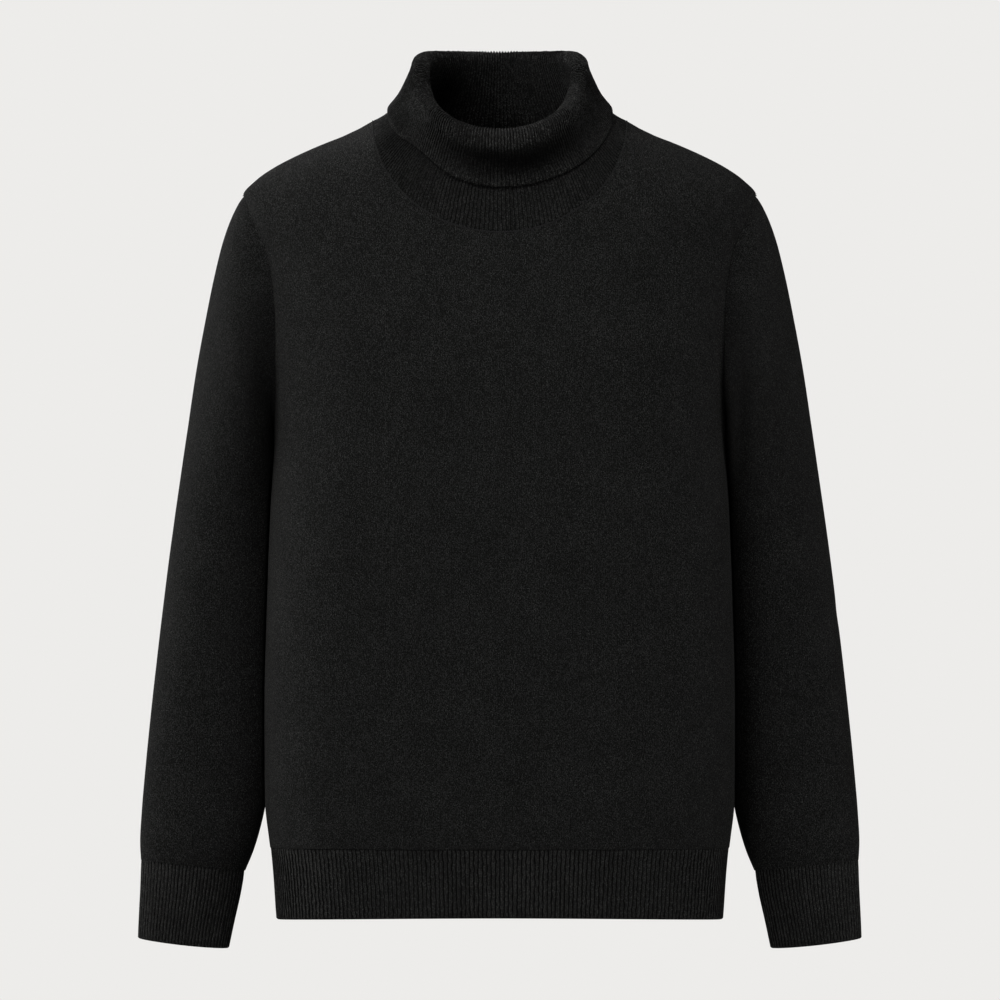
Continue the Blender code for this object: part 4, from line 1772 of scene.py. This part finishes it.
@dataclass(frozen=True)
class Studio:
    """A long-lens camera level with the middle of the sweater, soft lights and a pale floor.

    Attributes:
        pale: The colour of the floor and the backdrop.
        ambient: The strength of the light from all round.
        from_below: The share of it that comes from straight below.
        aim: The place that the lights are turned to.
    """

    distance: float = 12.0
    view_width: float = 0.85
    eye_x: float = 0.0002
    eye_z: float = -0.32215
    sensor: float = 36.0
    floor_z: float = -1.25
    floor_size: float = 9.0
    pale: tuple[float, float, float] = (0.8469, 0.8388, 0.8228)
    ambient: float = 0.05
    from_below: float = 0.15
    aim: tuple[float, float, float] = (0.0, 0.0, -0.3)
    lights: tuple[Softbox, ...] = (
        Softbox("key_softbox", (-3.16, -0.85, 1.99), 1.6, 72.0),
        Softbox("side_softbox", (-2.51, -2.11, 1.99), 1.6, 40.0),
        Softbox("top_softbox", (0.0, -1.69, 3.33), 1.6, 52.0),
        Softbox("front_softbox", (-1.68, -3.61, 0.05), 1.6, 46.0),
        Softbox("edge_softbox", (3.85, -1.03, 0.05), 1.6, 70.0),
        Softbox("back_softbox", (-1.64, 2.84, 1.99), 1.6, 48.0),
        Softbox("rim_softbox", (-3.57, 1.66, 0.39), 1.6, 50.0),
    )

    def build(self) -> None:
        """Set up the camera, lights, floor and surroundings."""
        self.add_camera()
        for light in self.lights:
            self.add_light(light)
        self.add_floor()
        self.add_surroundings()
        bpy.context.scene.view_settings.view_transform = "Standard"

    def add_camera(self) -> None:
        """Place the camera."""
        camera = bpy.data.cameras.new("camera")
        camera.sensor_width = self.sensor
        camera.lens = self.sensor * self.distance / self.view_width
        camera.clip_end = 100.0
        eye = bpy.data.objects.new("camera", camera)
        eye.location = (self.eye_x, -self.distance, self.eye_z)
        eye.rotation_euler = (math.pi / 2, 0, 0)
        bpy.context.scene.collection.objects.link(eye)
        bpy.context.scene.camera = eye

    def add_light(self, light: Softbox) -> None:
        """Place a light, turned towards the chest."""
        lamp = bpy.data.lights.new(light.name, "AREA")
        lamp.size = light.size
        lamp.energy = light.power
        item = bpy.data.objects.new(light.name, lamp)
        item.location = light.place
        towards = Vector(self.aim) - Vector(light.place)
        item.rotation_euler = towards.to_track_quat("-Z", "Y").to_euler()
        bpy.context.scene.collection.objects.link(item)

    def add_floor(self) -> None:
        """Lay a plain pale floor."""
        half = self.floor_size / 2
        mesh = bpy.data.meshes.new("floor")
        corners = [(-half, -half), (half, -half), (half, half), (-half, half)]
        mesh.from_pydata([(x, y, self.floor_z) for x, y in corners], [], [(0, 1, 2, 3)])
        material = bpy.data.materials.new("pale_floor")
        material.use_nodes = True
        shader = material.node_tree.nodes["Principled BSDF"]
        shader.inputs["Base Color"].default_value = (*self.pale, 1)
        shader.inputs["Roughness"].default_value = 0.9
        mesh.materials.append(material)
        floor = bpy.data.objects.new("floor", mesh)
        floor.visible_diffuse = False
        bpy.context.scene.collection.objects.link(floor)

    def add_surroundings(self) -> None:
        """Surround the scene with the backdrop's colour, and light softly, least from below."""
        world = bpy.data.worlds.new("studio")
        world.use_nodes = True
        world.node_tree.nodes.clear()
        tree = Tree(world.node_tree)
        seen = tree.add("ShaderNodeBackground", None, {0: (*self.pale, 1), 1: 1.0})
        towards = tree.add("ShaderNodeTexCoord")
        split = tree.add("ShaderNodeSeparateXYZ", None, {0: towards.outputs["Generated"]})
        up = (tree.value(split, "Z") * (1 - self.from_below) + 1).capped(1.0)
        cast = tree.add("ShaderNodeBackground", None,
                        {0: (1.0, 1.0, 1.0, 1), 1: up * self.ambient})
        ray = tree.add("ShaderNodeLightPath")
        mix = tree.add("ShaderNodeMixShader", None, {
            0: ray.outputs["Is Camera Ray"], 1: cast.outputs[0], 2: seen.outputs[0],
        })
        tree.add("ShaderNodeOutputWorld", None, {"Surface": mix.outputs[0]})
        bpy.context.scene.world = world


def arm_line(hand: Hand) -> tuple[Array, Array]:
    """Follow an armhole's seam line, and the way out of the cloth there."""
    turn = np.linspace(0, np.pi, ARMHOLE_STEPS)
    points, outward = [], []
    for side, order in ((Side.FRONT, slice(None)), (Side.BACK, slice(-2, 0, -1))):
        line, way = TRUNK.surface(*TRUNK.armhole(turn, side, 0.0), side)
        points.append(line[order])
        outward.append(way[order])
    return np.concatenate(points) * hand.mirror, np.concatenate(outward) * hand.mirror


def side_line(hand: Hand, low: float, high: float,
              outward: tuple[float, float, float]) -> tuple[Array, Array]:
    """Follow the trunk's side from one height to another.

    Args:
        hand: Which side.
        low: First height.
        high: Last height.
        outward: The way out of the cloth on the wearer's left.

    Returns:
        The line, and the way out at each of its points.
    """
    heights = np.linspace(low, high, SIDE_STEPS)
    points = np.stack(
        [TRUNK.ring("half_width", heights), TRUNK.ring("side_y", heights), heights], axis=-1
    )
    way = unit(np.array(outward)) * hand.mirror
    return points * hand.mirror, np.broadcast_to(way, points.shape)


def build_seams(tree: StitchTree, wool: bpy.types.Material) -> None:
    """Link the pieces along the neckline, armholes, shoulders and sides."""
    turn = np.linspace(0, np.pi / 2, NECKLINE_STEPS)
    points, outward = [], []
    for side, sign, order in (
        (Side.FRONT, 1, slice(None)), (Side.BACK, 1, slice(-2, None, -1)),
        (Side.BACK, -1, slice(1, None)), (Side.FRONT, -1, slice(-2, 0, -1)),
    ):
        angle, height = TRUNK.neckline(turn, side, 0.0)
        line, way = TRUNK.surface(angle * sign, height, side)
        points.append(line[order])
        outward.append(way[order])
    LinkedSeam("neckline_linking", 3, yarn_radius=0.55, sunk=0.05).build(
        np.concatenate(points), np.concatenate(outward), True, tree, wool, "wool_rib"
    )
    for hand in Hand:
        name = hand.name.lower()
        LinkedSeam(f"armhole_linking_{name}", 5).build(
            *arm_line(hand), True, tree, wool, "wool_knit"
        )
        side = side_line(hand, TRUNK.rib_top, TRUNK.armpit, (1, 0, 0))
        LinkedSeam(f"side_seam_{name}", 7).build(*side, False, tree, wool, "wool_knit")
        crest = TRUNK.crest_height(TRUNK.neck_half_width)
        shoulder = side_line(hand, crest, TRUNK.shoulder_point, (0.45, 0, 1))
        LinkedSeam(f"shoulder_seam_{name}", 9).build(*shoulder, False, tree, wool, "wool_knit")


def main() -> None:
    """Build the sweater piece by piece, then the studio round it."""
    logging.basicConfig(level=logging.INFO, format="%(name)s: %(message)s")
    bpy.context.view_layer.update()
    Studio().build()

    knit = Knit("black_wool_knit", wale=1.85, course=1.05).material()
    hem_wool = RibKnit("black_wool_hem_rib", wale=3.6).material()
    cuff_wool = RibKnit("black_wool_cuff_rib", wale=2.96).material()
    collar_wool = Knit("black_wool_collar_rib", wale=2.17, course=1.2, share=0.85, groove=0.65,
                       spread=0.45, fuzz=0.7).material()
    yarn = Yarn().material()
    ribs, stitches = RibTree(), StitchTree()

    Panel("front", Side.FRONT, Cut(0.516, 0.657, 0.283)).build(knit)
    Panel("back", Side.BACK, Cut(0.505, 0.661, 0.294)).build(knit)
    for side, name in ((Side.FRONT, "hem_rib_front"), (Side.BACK, "hem_rib_back")):
        HemRib(name, side, Cut(0.493, 0.061)).build(ribs, hem_wool)
    for hand in Hand:
        name = hand.name.lower()
        Sleeve(f"sleeve_{name}", hand, Cut(0.485, 0.578, 0.146)).build(knit)
        Cuff(f"cuff_{name}", hand, Cut(0.213, 0.067, 0.0131)).build(ribs, cuff_wool)
    RollCollar("roll_collar", Cut(0.530, 0.145, 0.0749, held="folded")).build(ribs, collar_wool)
    build_seams(stitches, yarn)


if __name__ == "__main__":
    main()
